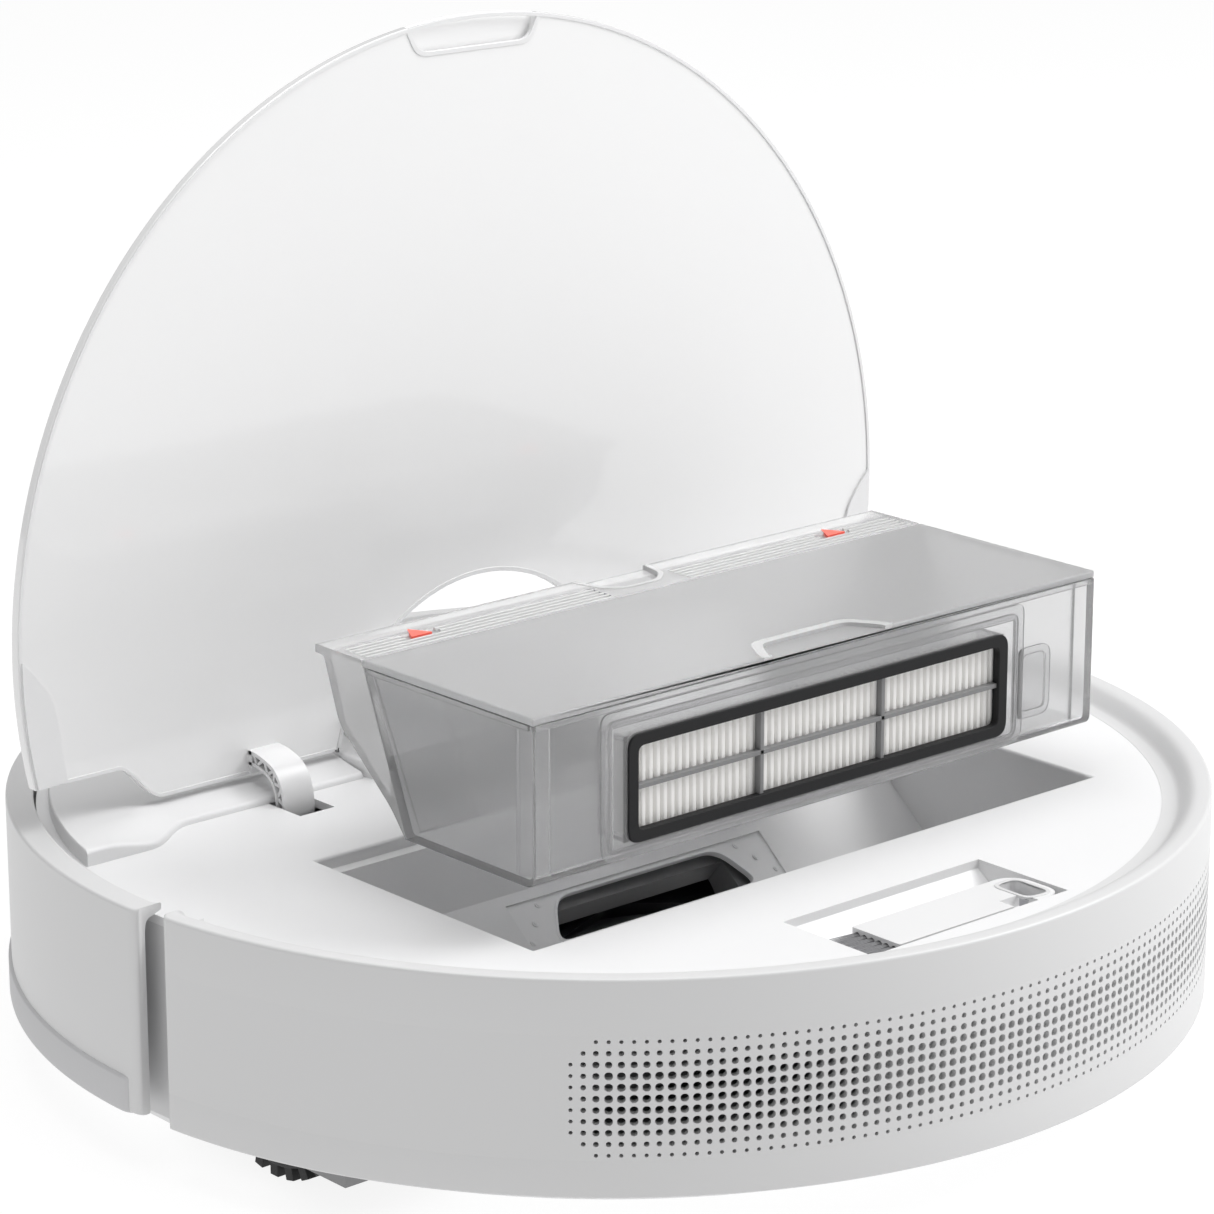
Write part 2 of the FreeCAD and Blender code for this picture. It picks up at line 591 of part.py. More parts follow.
def lid_panel():
    """Thin round lid with a finger pocket under its rear edge."""
    bottom = "lid_top - lid_thick"
    behind = slab("XY_Plane", [("-beyond", "-beyond"), ("beyond", "-beyond"), ("beyond", "lid_ear"), ("132", "lid_ear"),
                               ("115", "lid_front"), ("-115", "lid_front"), ("-132", "lid_ear"),
                               ("-beyond", "lid_ear")], (bottom, "lid_top"))
    disc = common(rod("Z", ("0", "0"), "lid_radius", (bottom, "lid_top")), behind)
    bite = rod("Z", ("0", "turret_y"), "collar_radius + bite_gap", (bottom + " - 1", "lid_top + 1"))
    pocket = box(("-23", "23"), ("-lid_radius", "-lid_radius + 10"), (bottom + " - 1", bottom + " + 1.6"))
    return cut(disc, bite, pocket)


def lid_pads():
    """Stiffening pads under both ears of the lid."""
    top = "lid_top - lid_thick"
    ring = cut(rod("Z", ("0", "0"), "lid_radius - 1", (top + " - 0.9", top)),
               rod("Z", ("0", "0"), "lid_radius - 13", (top + " - 2", top + " + 1")))
    return common(ring, box(("-beyond", "beyond"), ("-3", "lid_ear - 1"), ("50", "90")))


def lid_arm(side):
    """Curved arm that wraps round the hinge axis, with a pivot eye."""
    span = (f"{side} * arm_x - arm_wide / 2", f"{side} * arm_x + arm_wide / 2")
    disc = rod("X", ("hinge_y", "hinge_z"), "arm_reach", span)
    waist = cut(rod("X", ("hinge_y", "hinge_z"), "arm_reach - 4", (span[0] + " - 1", span[1] + " + 1")),
                rod("X", ("hinge_y", "hinge_z"), "4.5", (span[0] + " - 2", span[1] + " + 2")))
    bridge = box(span, ("hinge_y - 12.5", "hinge_y"), ("hinge_z - 1.5", "hinge_z + 1.5"))
    above = box((span[0] + " - 1", span[1] + " + 1"), ("hinge_y - 30", "hinge_y + 30"),
                ("lid_top - lid_thick", "lid_top + 30"))
    front = box((span[0] + " - 1", span[1] + " + 1"), ("hinge_y + 0.5", "hinge_y + 30"),
                ("hinge_z - 30", "hinge_z + 30"))
    eye = rod("X", ("hinge_y", "hinge_z"), "4.5", span)
    foot = box(span, ("hinge_y - arm_reach - 7", "hinge_y - arm_reach + 4"),
               ("lid_top - lid_thick - 3", "lid_top - lid_thick"))
    pin_hole = rod("X", ("hinge_y", "hinge_z"), "2 + running_gap", (span[0] + " - 3", span[1] + " + 3"))
    arc = cut(disc, waist, front, above)
    low_eye = cut(eye, box((span[0] + " - 1", span[1] + " + 1"), ("0", "hinge_y + 30"),
                           ("lid_top - lid_thick", "lid_top + 30")))
    return cut(fuse(arc, bridge, low_eye, foot), pin_hole)


def hinge_pins():
    """Pins of both lid arms in their blocks under the deck."""
    pieces = []
    for side in (-1, 1):
        low, high = f"{side} * arm_x - arm_wide / 2", f"{side} * arm_x + arm_wide / 2"
        pin = rod("X", ("hinge_y", "hinge_z"), "2", (low + " - 4", high + " + 4"))
        blocks = [box((a, b), ("hinge_y - 4", "hinge_y + 4"), ("hinge_z - 10", "deck_z - deck_thick"))
                  for a, b in ((low + " - 4", low + " - 1.3"), (high + " + 1.3", high + " + 4"))]
        slot = box((low + " - 6", high + " + 6"), ("hinge_y - 8", "hinge_y + 8"),
                   ("deck_z - deck_thick", "deck_z + 6"))
        pieces.append(cut(fuse(pin, *blocks), slot))
    return bare(*pieces)


# ---------------------------------------------------------------- bin, drawn seated

def raise_bin(piece):
    """Lift a bin piece, drawn seated, out of the bay."""
    holder = doc.addObject("Part::Compound", "Raised")
    holder.Links = [piece]
    return place(holder, "0", "0", "bin_lift")


def bin_body():
    """Clear tub behind the front strip, open for its lid, the filter and the inlet."""
    floor = "bin_top - bin_tall"
    top = "bin_top - 2.2"
    outer = slab("YZ_Plane", [("bin_back", floor), ("bin_back", top), ("seam_y", top),
                              ("-38.06", floor)], ("-bin_half", "bin_half"))
    inner = slab("YZ_Plane", [
        ("bin_back + 2.4", floor + " + bin_wall"), ("bin_back + 2.4", top + " + 1"),
        ("seam_y - bin_wall", top + " + 1"), ("-38 - bin_wall", floor + " + bin_wall")],
        ("-bin_half + bin_wall", "bin_half - bin_wall"))
    opening = box(("filter_left - 0.3", "filter_right + 0.3"), ("bin_back - 1", "bin_back + 3"),
                  ("filter_low - 0.3", "filter_low + filter_tall + 0.3"))
    tab_seat = box(("filter_right - 1", "filter_right + 15"), ("bin_back - 1", "bin_back + 1.3"),
                   ("filter_low + 4", "filter_low + filter_tall - 10"))
    mouth = slanted_block(("-mouth_half", "mouth_half"), 12, ("-2", "30"))
    return cut(outer, inner, opening, tab_seat, mouth)


def bin_strip():
    """Front strip: ribbed top, overhanging lip, slanting face with the inlet, notch, two hinge pins."""
    block = slab("YZ_Plane", [("0", "bin_top"), *BIN_FRONT, ("-strip_deep", "bin_top")],
                 ("-bin_half", "bin_half"))
    grooves = [box(("-bin_half + 2", "bin_half - 2"), (f"-{deep} - 0.8", f"-{deep}"),
                   ("bin_top - 0.8", "bin_top + 1")) for deep in (14.5, 16.5, 18.5)]
    mouth = slanted_block(("-mouth_half", "mouth_half"), 12, ("-2", "30"))
    hollow = slab("YZ_Plane", [
        ("-6.5", "bin_top - 2.2"), ("-12.5", "bin_top - 19.5"), ("-17", "bin_top - 23.2"),
        ("-strip_deep - 6.2", "bin_top - 23.2"), ("-strip_deep - 0.2", "bin_top - 2.2")],
        ("-bin_half + 2", "bin_half - 2"))
    notch = slab("XY_Plane", [("-12.5", "0.5"), ("-11.5", "-9"), ("-6", "-14"), ("6", "-14"), ("11.5", "-9"),
                              ("12.5", "0.5")], ("bin_top - 1.6", "bin_top + 1"))
    marks = slab("XY_Plane", MARK, ("bin_top - 0.5", "bin_top + 1"))
    pocket = box(("59.5", "66.5"), ("-strip_deep - 1.2", "-strip_deep + 3"), ("bin_top - 3", "bin_top + 1"))
    pin = rod("X", ("-strip_deep + 1", "bin_top - 1.1"), "0.8", ("58", "68"))
    strip = cut(block, *grooves, mouth, hollow, notch, marks, mirrored(marks), pocket, mirrored(pocket))
    return fuse(strip, pin, mirrored(pin))


def bin_marks():
    """Two coloured pointers let into the strip that show which end goes forward."""
    one = slab("XY_Plane", MARK, ("bin_top - 0.5", "bin_top + 0.05"))
    return bare(one, mirrored(one))


def bin_lid():
    """Clear panel over the tub: finger recess at its rear edge, two hinge ears at its front edge."""
    panel = box(("-bin_half", "bin_half"), ("bin_back", "seam_y"), ("bin_top - 2.15", "bin_top"))
    recess = box(("-22", "22"), ("bin_back - 1", "bin_back + 13"), ("bin_top - 0.9", "bin_top + 1"))
    ear = box(("60", "66"), ("-strip_deep - 1.3", "-strip_deep + 2"), ("bin_top - 2.05", "bin_top - 0.1"))
    bore = rod("X", ("-strip_deep + 1", "bin_top - 1.1"), "0.8 + running_gap", ("58", "68"))
    knuckle = cut(ear, bore)
    return fuse(cut(panel, recess), knuckle, mirrored(knuckle))


def filter_frame():
    """Cassette frame: plate with six windows, a pull tab and the sleeve round the pleats."""
    low, high = "filter_low", "filter_low + filter_tall"
    plate = box(("filter_left", "filter_right"), ("bin_back", "bin_back + 2"), (low, high))
    sleeve = box(("filter_left + 6", "filter_right - 4"), ("bin_back", "bin_back + filter_deep"),
                 (low + " + 2", high + " - 5"))
    tab = box(("filter_right - 1", "filter_right + 14"), ("bin_back", "bin_back + 1.1"),
              (low + " + 4.5", high + " - 10.5"))
    room = box(("filter_left + 8", "filter_right - 6"), ("bin_back + 2", "bin_back + filter_deep + 1"),
               (low + " + 4", high + " - 7"))
    windows = []
    wide = "(filter_right - filter_left - 19) / 3"
    tall = "(filter_tall - 15) / 2"
    for column in range(3):
        for row in range(2):
            x0 = f"filter_left + 9.5 + {column} * {wide} + 0.8"
            z0 = f"filter_low + 6 + {row} * {tall} + 0.7"
            windows.append(box((x0, f"{x0} + {wide} - 1.6"), ("bin_back - 1", "bin_back + 3"),
                               (z0, f"{z0} + {tall} - 1.4")))
    return cut(fuse(plate, sleeve, tab), room, *windows)


def filter_seal():
    """Soft rim pressed on the filter's rear face."""
    outer = box(("filter_left + 7", "filter_right - 4"), ("bin_back - 0.4", "bin_back"),
                ("filter_low + 2", "filter_low + filter_tall - 5"))
    inner = box(("filter_left + 9.5", "filter_right - 7"), ("bin_back - 1", "bin_back + 1"),
                ("filter_low + 5", "filter_low + filter_tall - 8"))
    return cut(outer, inner)


def filter_media():
    """Pleated paper, folded into vertical pleats between the sleeve's walls."""
    pleats = 26
    left, wide = "filter_left + 8.2", "(filter_right - filter_left - 14.4)"
    front, back = [], []
    for fold in range(pleats + 1):
        near = fold % 2
        across = f"{left} + {wide} * {fold} / {pleats}"
        front.append((across, f"bin_back + 2.2 + {7 * near}"))
        back.append((across, f"bin_back + 3.6 + {7 * near}"))
    return slab("XY_Plane", front + back[::-1], ("filter_low + 4.2", "filter_low + filter_tall - 7.2"))


# ---------------------------------------------------------------- tool and tray

def tool_tray():
    """Recess behind the bay for the cleaning tool, shallower at its front finger scoop."""
    wall = "1.2"
    top = "deck_z - deck_thick"
    left, right = "-tray_half - tray_shift", "tray_half - tray_shift"
    outer = box((f"{left} - {wall}", f"{right} + {wall}"),
                (f"tray_back - {wall}", f"tray_front + {wall}"), ("deck_z - 12", top))
    inner = box((left, right), ("tray_back", "tray_front"), ("deck_z - 10.8", "deck_z"))
    ramp = slab("YZ_Plane", [("tray_front", top), ("tray_front", "deck_z - 11"),
                             ("tray_front - 11", "deck_z - 11")], (f"{left} - 0.1", f"{right} + 0.1"))
    return fuse(cut(outer, inner), ramp)


def tool_handle():
    """Flat bar of the cleaning tool with a hooked end that guards the blade."""
    top, low = "deck_z - tool_sunk", "deck_z - 8.2"
    bar = box(("-25 - tray_shift", "24 - tray_shift"), ("tray_back + 1.8", "tray_back + 19.5"), (low, top))
    hook = box(("24 - tray_shift", "36 - tray_shift"), ("tray_back + 0.8", "tray_back + 19.5"), (low, top))
    gap = box(("28.5 - tray_shift", "33 - tray_shift"), ("tray_back + 3.5", "tray_back + 16"),
              (low + " - 1", top + " + 1"))
    mouth = box(("23 - tray_shift", "29 - tray_shift"), ("tray_back + 3.5", "tray_back + 7.5"),
                (low + " - 1", top + " + 1"))
    return cut(fuse(bar, hook), gap, mouth)


def tool_bristles():
    """Six tufts side by side at the tool's brush end."""
    tufts = [rod("X", (f"tray_back + 3.9 + {step} * 2.7", "deck_z - tool_sunk - 2.1"), "1.25",
                 ("-35.5 - tray_shift", "-25 - tray_shift"))
             for step in range(6)]
    return bare(*tufts)


def tool_blade():
    """Small hair-cutting blade across the hook's gap."""
    return box(("30.4 - tray_shift", "31.1 - tray_shift"), ("tray_back + 3.5", "tray_back + 16"),
               ("deck_z - 6.6", "deck_z - 3.8"))


# ---------------------------------------------------------------- bumper and buttons

def bumper_half(points):
    """A turned bumper section kept only ahead of the bumper's rear end."""
    return common(turned(points), box(("-beyond", "beyond"), ("bumper_end_y", "beyond"), ("0", "rim_z + 1")))


def bumper():
    """Sprung front half of the side wall with an inward flange along its top."""
    inner = "shell_radius - shell_wall"
    return bumper_half([
        (inner, "skirt_z"), ("shell_radius", "skirt_z"), ("shell_radius", "rim_z - 4.4"),
        ("shell_radius - 1", "rim_z - 2"), ("shell_radius - 3.4", "rim_z - 1"),
        ("rim_radius", "rim_z - 1"), ("rim_radius", "rim_z - 3"), (inner, "rim_z - 4.4")])


def bumper_band():
    """Soft strip along the lower edge of the bumper."""
    return common(bumper_half([
        ("shell_radius", "skirt_z - 0.8"), ("shell_radius + band_proud", "skirt_z + 0.4"),
        ("shell_radius + band_proud", "band_top - 1"), ("shell_radius", "band_top")]),
        box(("-beyond", "beyond"), ("bumper_end_y + 4", "beyond"), ("0", "rim_z + 1")))


def button(side):
    """Round key in the front cover."""
    return rod("Z", (f"{side} * 17", "134"), "7", ("deck_z + 1.5", "rim_z - 0.3"))


# ---------------------------------------------------------------- underside pieces

def main_brush():
    """Brush core with its end journals."""
    core = rod("X", ("brush_y", "brush_z"), "10", ("-brush_half", "brush_half"))
    ends = [rod("X", ("brush_y", "brush_z"), "4",
                (f"{way} * (brush_half + 3.5) - 3.5", f"{way} * (brush_half + 3.5) + 3.5"))
            for way in (-1, 1)]
    return fuse(core, *ends)


def brush_fins():
    """Six flexible fins along the core."""
    fins = [paddle(step * 60, "9", "brush_radius - 9", "2", ("-brush_half + 2", "brush_half - 2"),
                   ("brush_y", "brush_z")) for step in range(6)]
    core = rod("X", ("brush_y", "brush_z"), "10", ("-brush_half - 1", "brush_half + 1"))
    return bare(*[cut(fin, core) for fin in fins])


def brush_guard():
    """Frame round the main brush under the pan, with two latch tabs."""
    low, high = "pan_z - 1.5", "pan_z + pan_thick - 0.6"
    plate = box(("-brush_half - 5.6", "brush_half + 5.6"), ("brush_y - 23.6", "brush_y + 21.6"), (low, high))
    opening = box(("-brush_half - 1", "brush_half + 1"),
                  ("brush_y - brush_radius - 1.5", "brush_y + brush_radius + 1.5"),
                  (low + " - 1", high + " + 1"))
    tabs = [box((f"{way} * 50 - 8", f"{way} * 50 + 8"), ("brush_y - 31", "brush_y - 23"), (low, "pan_z"))
            for way in (-1, 1)]
    return fuse(cut(plate, opening), *tabs)


def caster_fork():
    """Swivel fork with its stem in the chassis cup."""
    top = rod("Z", ("0", "caster_y"), "15", ("27", "30.5"))
    stem = rod("Z", ("0", "caster_y"), "3", ("30", "36"))
    centre = "caster_y - caster_trail"
    cheeks = [box((low, high), (centre + " - 5", centre + " + 5"), ("caster_radius - 4", "28"))
              for low, high in (("-9.5", "-7.5"), ("7.5", "9.5"))]
    holes = rod("X", (centre, "caster_radius"), "2 + running_gap", ("-12", "12"))
    return cut(fuse(top, stem, *cheeks), holes)


def caster_wheel():
    """Caster roller with its axle."""
    centre = ("caster_y - caster_trail", "caster_radius")
    return fuse(rod("X", centre, "caster_radius", ("-7", "7")), rod("X", centre, "2", ("-9.4", "9.4")))


def side_brush_hub():
    """Hub of the side brush with its drive shaft."""
    return fuse(rod("Z", ("side_x", "side_y"), "11", ("4.5", "8.8")),
                rod("Z", ("side_x", "side_y"), "2.5", ("8", "20")))


def side_bristles():
    """Three flat bristle arms round the hub."""
    return bare(*[spoke(angle, "11.05", "38", "4", ("4.8", "7.2"), ("side_x", "side_y"))
                  for angle in (90, 210, 330)])


def side_motor():
    """Gearmotor above the side brush."""
    block = box(("side_x - 15", "side_x + 12"), ("side_y - 15", "side_y + 12"), ("pan_z + pan_thick", "34"))
    return cut(block, rod("Z", ("side_x", "side_y"), "2.5 + running_gap", ("0", "20.5")))


# ---------------------------------------------------------------- inside the body

def fan_housing():
    """Plenum behind the filter and the round suction fan chamber."""
    floor = "pan_z + pan_thick"
    back = "bin_back - bin_gap - bay_wall * 1.2 - bin_gap"
    plenum = box(("filter_left + 10", "filter_right - 10"), (f"{back} - 8", back),
                 ("filter_low + 1.5", "filter_low + filter_tall - 6.5"))
    drum = rod("Z", ("0", "fan_y"), "fan_radius", (floor, "fan_roof"))
    plenum_room = box(("filter_left + 12", "filter_right - 12"), (f"{back} - 6.5", f"{back} + 1"),
                      ("filter_low + 3.5", "filter_low + filter_tall - 8.5"))
    drum_room = rod("Z", ("0", "fan_y"), "fan_radius - 2", (floor + " + 2", "fan_roof - 2"))
    throat = box(("-20", "20"), ("fan_y", f"{back} - 5"), ("fan_roof - 18", "fan_roof - 2"))
    return cut(fuse(plenum, drum), plenum_room, drum_room, throat)


def fan_motor():
    """Brushless motor body under the impeller."""
    return fuse(rod("Z", ("0", "fan_y"), "17", ("pan_z + pan_thick + 2", "34")),
                rod("Z", ("0", "fan_y"), "2", ("34", "50")))


def impeller():
    """Impeller with eight radial blades."""
    disc = rod("Z", ("0", "fan_y"), "25", ("36", "38"))
    hub = rod("Z", ("0", "fan_y"), "6", ("38", "51"))
    blades = [spoke(step * 45, "5", "19", "1.2", ("37.5", "47.5"), ("0", "fan_y")) for step in range(8)]
    bore = rod("Z", ("0", "fan_y"), "2 + running_gap", ("30", "50.2"))
    return cut(fuse(disc, hub, *blades), bore)


def battery():
    """Battery pack ahead of the main brush."""
    return rounded(box(("-66", "66"), ("39", "77"), ("pan_z + pan_thick + 0.4", "49")), "3",
                   lambda edge, middle: abs(edge.tangentAt(edge.FirstParameter).x) > 0.9)


def battery_door():
    """Cover plate under the battery."""
    return box(("-67.6", "67.6"), ("38.4", "77.6"), ("pan_z", "pan_z + pan_thick"))


def main_board():
    """Control board with its larger components."""
    board = box(("-58", "58"), ("92", "128"), ("50", "51.6"))
    chips = [box((f"{x}", f"{x} + {wide}"), (f"{y}", f"{y} + {deep}"), ("51.6", f"51.6 + {tall}"))
             for x, y, wide, deep, tall in ((-40, 98, 18, 18, 2), (-6, 100, 14, 14, 1.5),
                                            (22, 96, 24, 10, 6), (30, 112, 10, 10, 8))]
    legs = [rod("Z", (f"{x}", "124"), "3", ("pan_z + pan_thick", "50")) for x in (-54, 54)]
    return fuse(board, *chips, *legs)


def contacts():
    """Two charging contacts under the front of the pan."""
    return bare(*[box((f"{side} * 34 - 7", f"{side} * 34 + 7"), ("138", "146"), ("pan_z - 0.6", "pan_z"))
                  for side in (-1, 1)])


def screws():
    """Pan screws' heads below the chassis."""
    spots = [(side * x, y) for x, y in ((60, 34), (110, 60), (70, -120), (45, 128)) for side in (-1, 1)]
    return bare(*[rod("Z", (f"{x}", f"{y}"), "3.2", ("pan_z - 1", "pan_z")) for x, y in spots])


# ---------------------------------------------------------------- the assembly

node("base_plate", chassis_pan())
node("rear_shell", rear_shell())
node("exhaust_baffle", exhaust_baffle())
node("deck", deck())
node("front_cover", front_cover())
node("bin_bay", bin_bay())
node("inlet_plate", inlet_plate())
node("brush_housing", brush_housing())
node("wheel_housing_right", wheel_housing())
node("wheel_housing_left", mirrored(wheel_housing()))
node("turret_collar", turret_collar())
node("turret_cage", turret_cage())
node("lidar_mount", lidar_mount())
node("lidar_head", lidar_head())
node("tool_tray", tool_tray())
node("fan_housing", fan_housing())
node("fan_motor", fan_motor())
node("impeller", impeller())
node("battery", battery())
node("battery_door", battery_door())
node("main_board", main_board())
node("side_motor", side_motor())
node("charging_contacts", contacts())
node("pan_screws", screws())
node("brush_guard", brush_guard())
node("hinge_pins", hinge_pins())
node("lid_panel", open_lid(lid_panel()))
node("lid_pads", open_lid(lid_pads()))
node("lid_arm_left", open_lid(lid_arm(-1)))
node("lid_arm_right", open_lid(lid_arm(1)))
node("bin_body", raise_bin(bin_body()))
node("bin_strip", raise_bin(bin_strip()))
node("bin_marks", raise_bin(bin_marks()))
node("bin_lid", raise_bin(bin_lid()))
node("filter_frame", raise_bin(filter_frame()))
node("filter_seal", raise_bin(filter_seal()))
node("filter_media", raise_bin(filter_media()))
node("tool_handle", tool_handle())
node("tool_bristles", tool_bristles())
node("tool_blade", tool_blade())
node("bumper", bumper())
node("bumper_band", bumper_band())
node("power_button", button(-1))
node("home_button", button(1))
node("drive_arm_right", drive_arm())
node("drive_hub_right", drive_hub())
node("drive_tyre_right", drive_tyre())
node("drive_arm_left", mirrored(drive_arm()))
node("drive_hub_left", mirrored(drive_hub()))
node("drive_tyre_left", mirrored(drive_tyre()))
node("main_brush", main_brush())
node("brush_fins", brush_fins())
node("caster_fork", caster_fork())
node("caster_wheel", caster_wheel())
node("side_brush_hub", side_brush_hub())
node("side_bristles", side_bristles())

doc.recompute()
for item in doc.Objects:
    if {"Invalid", "Error"} & set(item.State):
        raise RuntimeError(f"{item.Label} could not be built")
for piece in nodes:
    if piece.Shape.isNull() or not piece.Shape.isValid():
        raise RuntimeError(f"{piece.Label} is not a sound solid")
os.makedirs("parts", exist_ok=True)
for piece in nodes:
    piece.Shape.exportStep(f"parts/{piece.Label}.step")
    limits = piece.Shape.BoundBox
    print(f"{piece.Label:22s} {piece.Shape.Volume / 1000:8.2f} cm3  x {limits.XMin:7.1f} {limits.XMax:7.1f}"
          f"  y {limits.YMin:7.1f} {limits.YMax:7.1f}  z {limits.ZMin:6.1f} {limits.ZMax:6.1f}")
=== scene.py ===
# %% [markdown]
# # A floor-cleaning robot with its lid open
# The robot stands on a pale floor with its lid swung up and its dust bin lifted out.
# The moving frame (bodies, joints, plain solids) is loaded first; every piece made
# below goes where that frame says and rides on one of its bodies.

# %% Load the frame
import bpy
import bmesh
import math
import numpy as np
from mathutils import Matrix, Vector


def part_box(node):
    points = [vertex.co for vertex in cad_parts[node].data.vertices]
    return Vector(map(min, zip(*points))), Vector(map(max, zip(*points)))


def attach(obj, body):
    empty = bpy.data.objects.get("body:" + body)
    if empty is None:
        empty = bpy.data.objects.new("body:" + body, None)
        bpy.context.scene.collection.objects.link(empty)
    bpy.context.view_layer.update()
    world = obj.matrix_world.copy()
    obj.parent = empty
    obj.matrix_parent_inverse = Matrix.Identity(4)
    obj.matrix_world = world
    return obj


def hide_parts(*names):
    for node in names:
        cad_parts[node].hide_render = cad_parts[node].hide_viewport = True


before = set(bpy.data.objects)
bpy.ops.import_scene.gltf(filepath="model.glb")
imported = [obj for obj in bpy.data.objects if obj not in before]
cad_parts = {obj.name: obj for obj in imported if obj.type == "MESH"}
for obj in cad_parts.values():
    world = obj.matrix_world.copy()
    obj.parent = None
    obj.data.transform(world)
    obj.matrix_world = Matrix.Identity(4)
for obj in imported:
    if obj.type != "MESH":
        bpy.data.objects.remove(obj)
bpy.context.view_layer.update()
MM = 0.001
made = []

# %% [markdown]
# Every length below is in millimetres and is turned into metres only when a mesh is
# made. The main heights and radii are read from the frame's own solids, so that a
# changed size there carries over to the looks.

# %% Measures taken from the frame
def corners(node):
    """Lowest and highest corner of a solid of the frame, in millimetres."""
    low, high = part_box(node)
    return np.array(low) / MM, np.array(high) / MM


shell_low, shell_high = corners("rear_shell")
SHELL = -shell_low[1]
SKIRT, RIM = shell_low[2], shell_high[2]
DECK = corners("deck")[1][2]
bin_low, bin_high = corners("bin_body")
BIN_TOP = corners("bin_lid")[1][2]
BIN_HALF, BIN_BACK = bin_high[0], bin_low[1]
lid_low, lid_high = corners("lid_panel")
LID_R, LID_IN, LID_OUT = lid_high[0], lid_low[1], lid_high[1]
LID_Z = lid_high[2] - LID_R
TURRET_Y = corners("turret_cage")[0][1] + 42
print("shell radius", round(SHELL, 2), "rim", RIM, "deck", DECK, "bin top", round(BIN_TOP, 2))

# %% [markdown]
# ## Camera
# A long lens from behind and to the left, a little above the robot. A camera could
# track an empty; a fixed place and turn is plainer and can't drift.

# %% Camera
view = bpy.data.cameras.new("Camera")
view.sensor_width = 36
view.lens = 126.53
camera = bpy.data.objects.new("Camera", view)
camera.location = (-0.775313, -0.875103, 0.461337)
camera.rotation_euler = (math.radians(90 - 16.173), 0, math.radians(-41.517))
bpy.context.scene.collection.objects.link(camera)
bpy.context.scene.camera = camera

# %% [markdown]
# ## Floor and light
# A white object needs light that falls off gently, or it turns into a flat shape.
# A soft key stands high on the right, a wide light hangs above, a weak fill is low on
# the left, and an even sky keeps the shadows open. The floor is a wide pale sheet that
# glows a little, as a lit sweep does, so that it stays white and throws light back.

# %% Floor and light
floor_mesh = bpy.data.meshes.new("floor")
reach = 30.0
floor_mesh.from_pydata([(-reach, -reach, 0), (reach, -reach, 0), (reach, reach, 0), (-reach, reach, 0)],
                       [], [(0, 1, 2, 3)])
floor = bpy.data.objects.new("floor", floor_mesh)
bpy.context.scene.collection.objects.link(floor)


def softbox(name, place, target, size, power):
    """A square area light that faces a point."""
    lamp = bpy.data.lights.new(name, "AREA")
    lamp.size = size
    lamp.energy = power
    holder = bpy.data.objects.new(name, lamp)
    holder.location = place
    holder.rotation_euler = (Vector(target) - Vector(place)).to_track_quat("-Z", "Y").to_euler()
    bpy.context.scene.collection.objects.link(holder)
    return holder


softbox("key_light", (1.4, -1.0, 1.6), (0, 0, 0.08), 1.3, 37)
softbox("top_light", (-0.1, -0.1, 2.2), (0, 0, 0.08), 1.6, 27)
softbox("left_fill", (-2.0, 0.5, 0.9), (0, 0, 0.06), 1.2, 2)
sky = bpy.data.worlds.new("sky")
sky.use_nodes = True
sky.node_tree.nodes["Background"].inputs["Color"].default_value = (1, 1, 1, 1)
sky.node_tree.nodes["Background"].inputs["Strength"].default_value = 0.26
bpy.context.scene.world = sky
bpy.context.scene.view_settings.view_transform = "Standard"

# %% [markdown]
# ## Shared surface detail
# Moulded plastic is never one even colour: it has faint flow marks, a fine grain from
# the mould, and a roughness that wanders. One node group makes all three from noise in
# object coordinates, and every plastic uses it with its own values.

# %% Moulded surface group
def new_group(name, inputs, outputs):
    """An empty shader group with named inputs (kind, default) and outputs (kind)."""
    group = bpy.data.node_groups.new(name, "ShaderNodeTree")
    for label, (kind, default) in inputs.items():
        socket = group.interface.new_socket(label, in_out="INPUT", socket_type=kind)
        if default is not None:
            socket.default_value = default
    for label, kind in outputs.items():
        group.interface.new_socket(label, in_out="OUTPUT", socket_type=kind)
    return group, group.nodes.new("NodeGroupInput"), group.nodes.new("NodeGroupOutput")


def node_of(tree, kind, **settings):
    """A node with some of its properties and plain input values set."""
    node = tree.nodes.new(kind)
    for label, value in settings.items():
        if label in node.inputs:
            node.inputs[label].default_value = value
        else:
            setattr(node, label, value)
    return node


FLOAT, COLOUR, VECTOR = "NodeSocketFloat", "NodeSocketColor", "NodeSocketVector"
moulded, given, out = new_group("moulded_surface", {
    "Vector": (VECTOR, None), "Colour": (COLOUR, (0.8, 0.8, 0.8, 1)), "Mottle": (FLOAT, 0.03),
    "Roughness": (FLOAT, 0.4), "Wander": (FLOAT, 0.06), "Grain size": (FLOAT, 2500.0),
    "Grain depth": (FLOAT, 0.1)}, {"Colour": COLOUR, "Roughness": FLOAT, "Normal": VECTOR})
cloud = node_of(moulded, "ShaderNodeTexNoise", Scale=14.0, Detail=3.0)
grain = node_of(moulded, "ShaderNodeTexNoise", Detail=2.0)
shade = node_of(moulded, "ShaderNodeMath", operation="MULTIPLY_ADD")
level = node_of(moulded, "ShaderNodeMath", operation="SUBTRACT")
tint = node_of(moulded, "ShaderNodeVectorMath", operation="SCALE")
rough = node_of(moulded, "ShaderNodeMath", operation="MULTIPLY_ADD")
bump = node_of(moulded, "ShaderNodeBump", Distance=0.0001)
level.inputs[1].default_value = 0.5
shade.inputs[2].default_value = 1.0
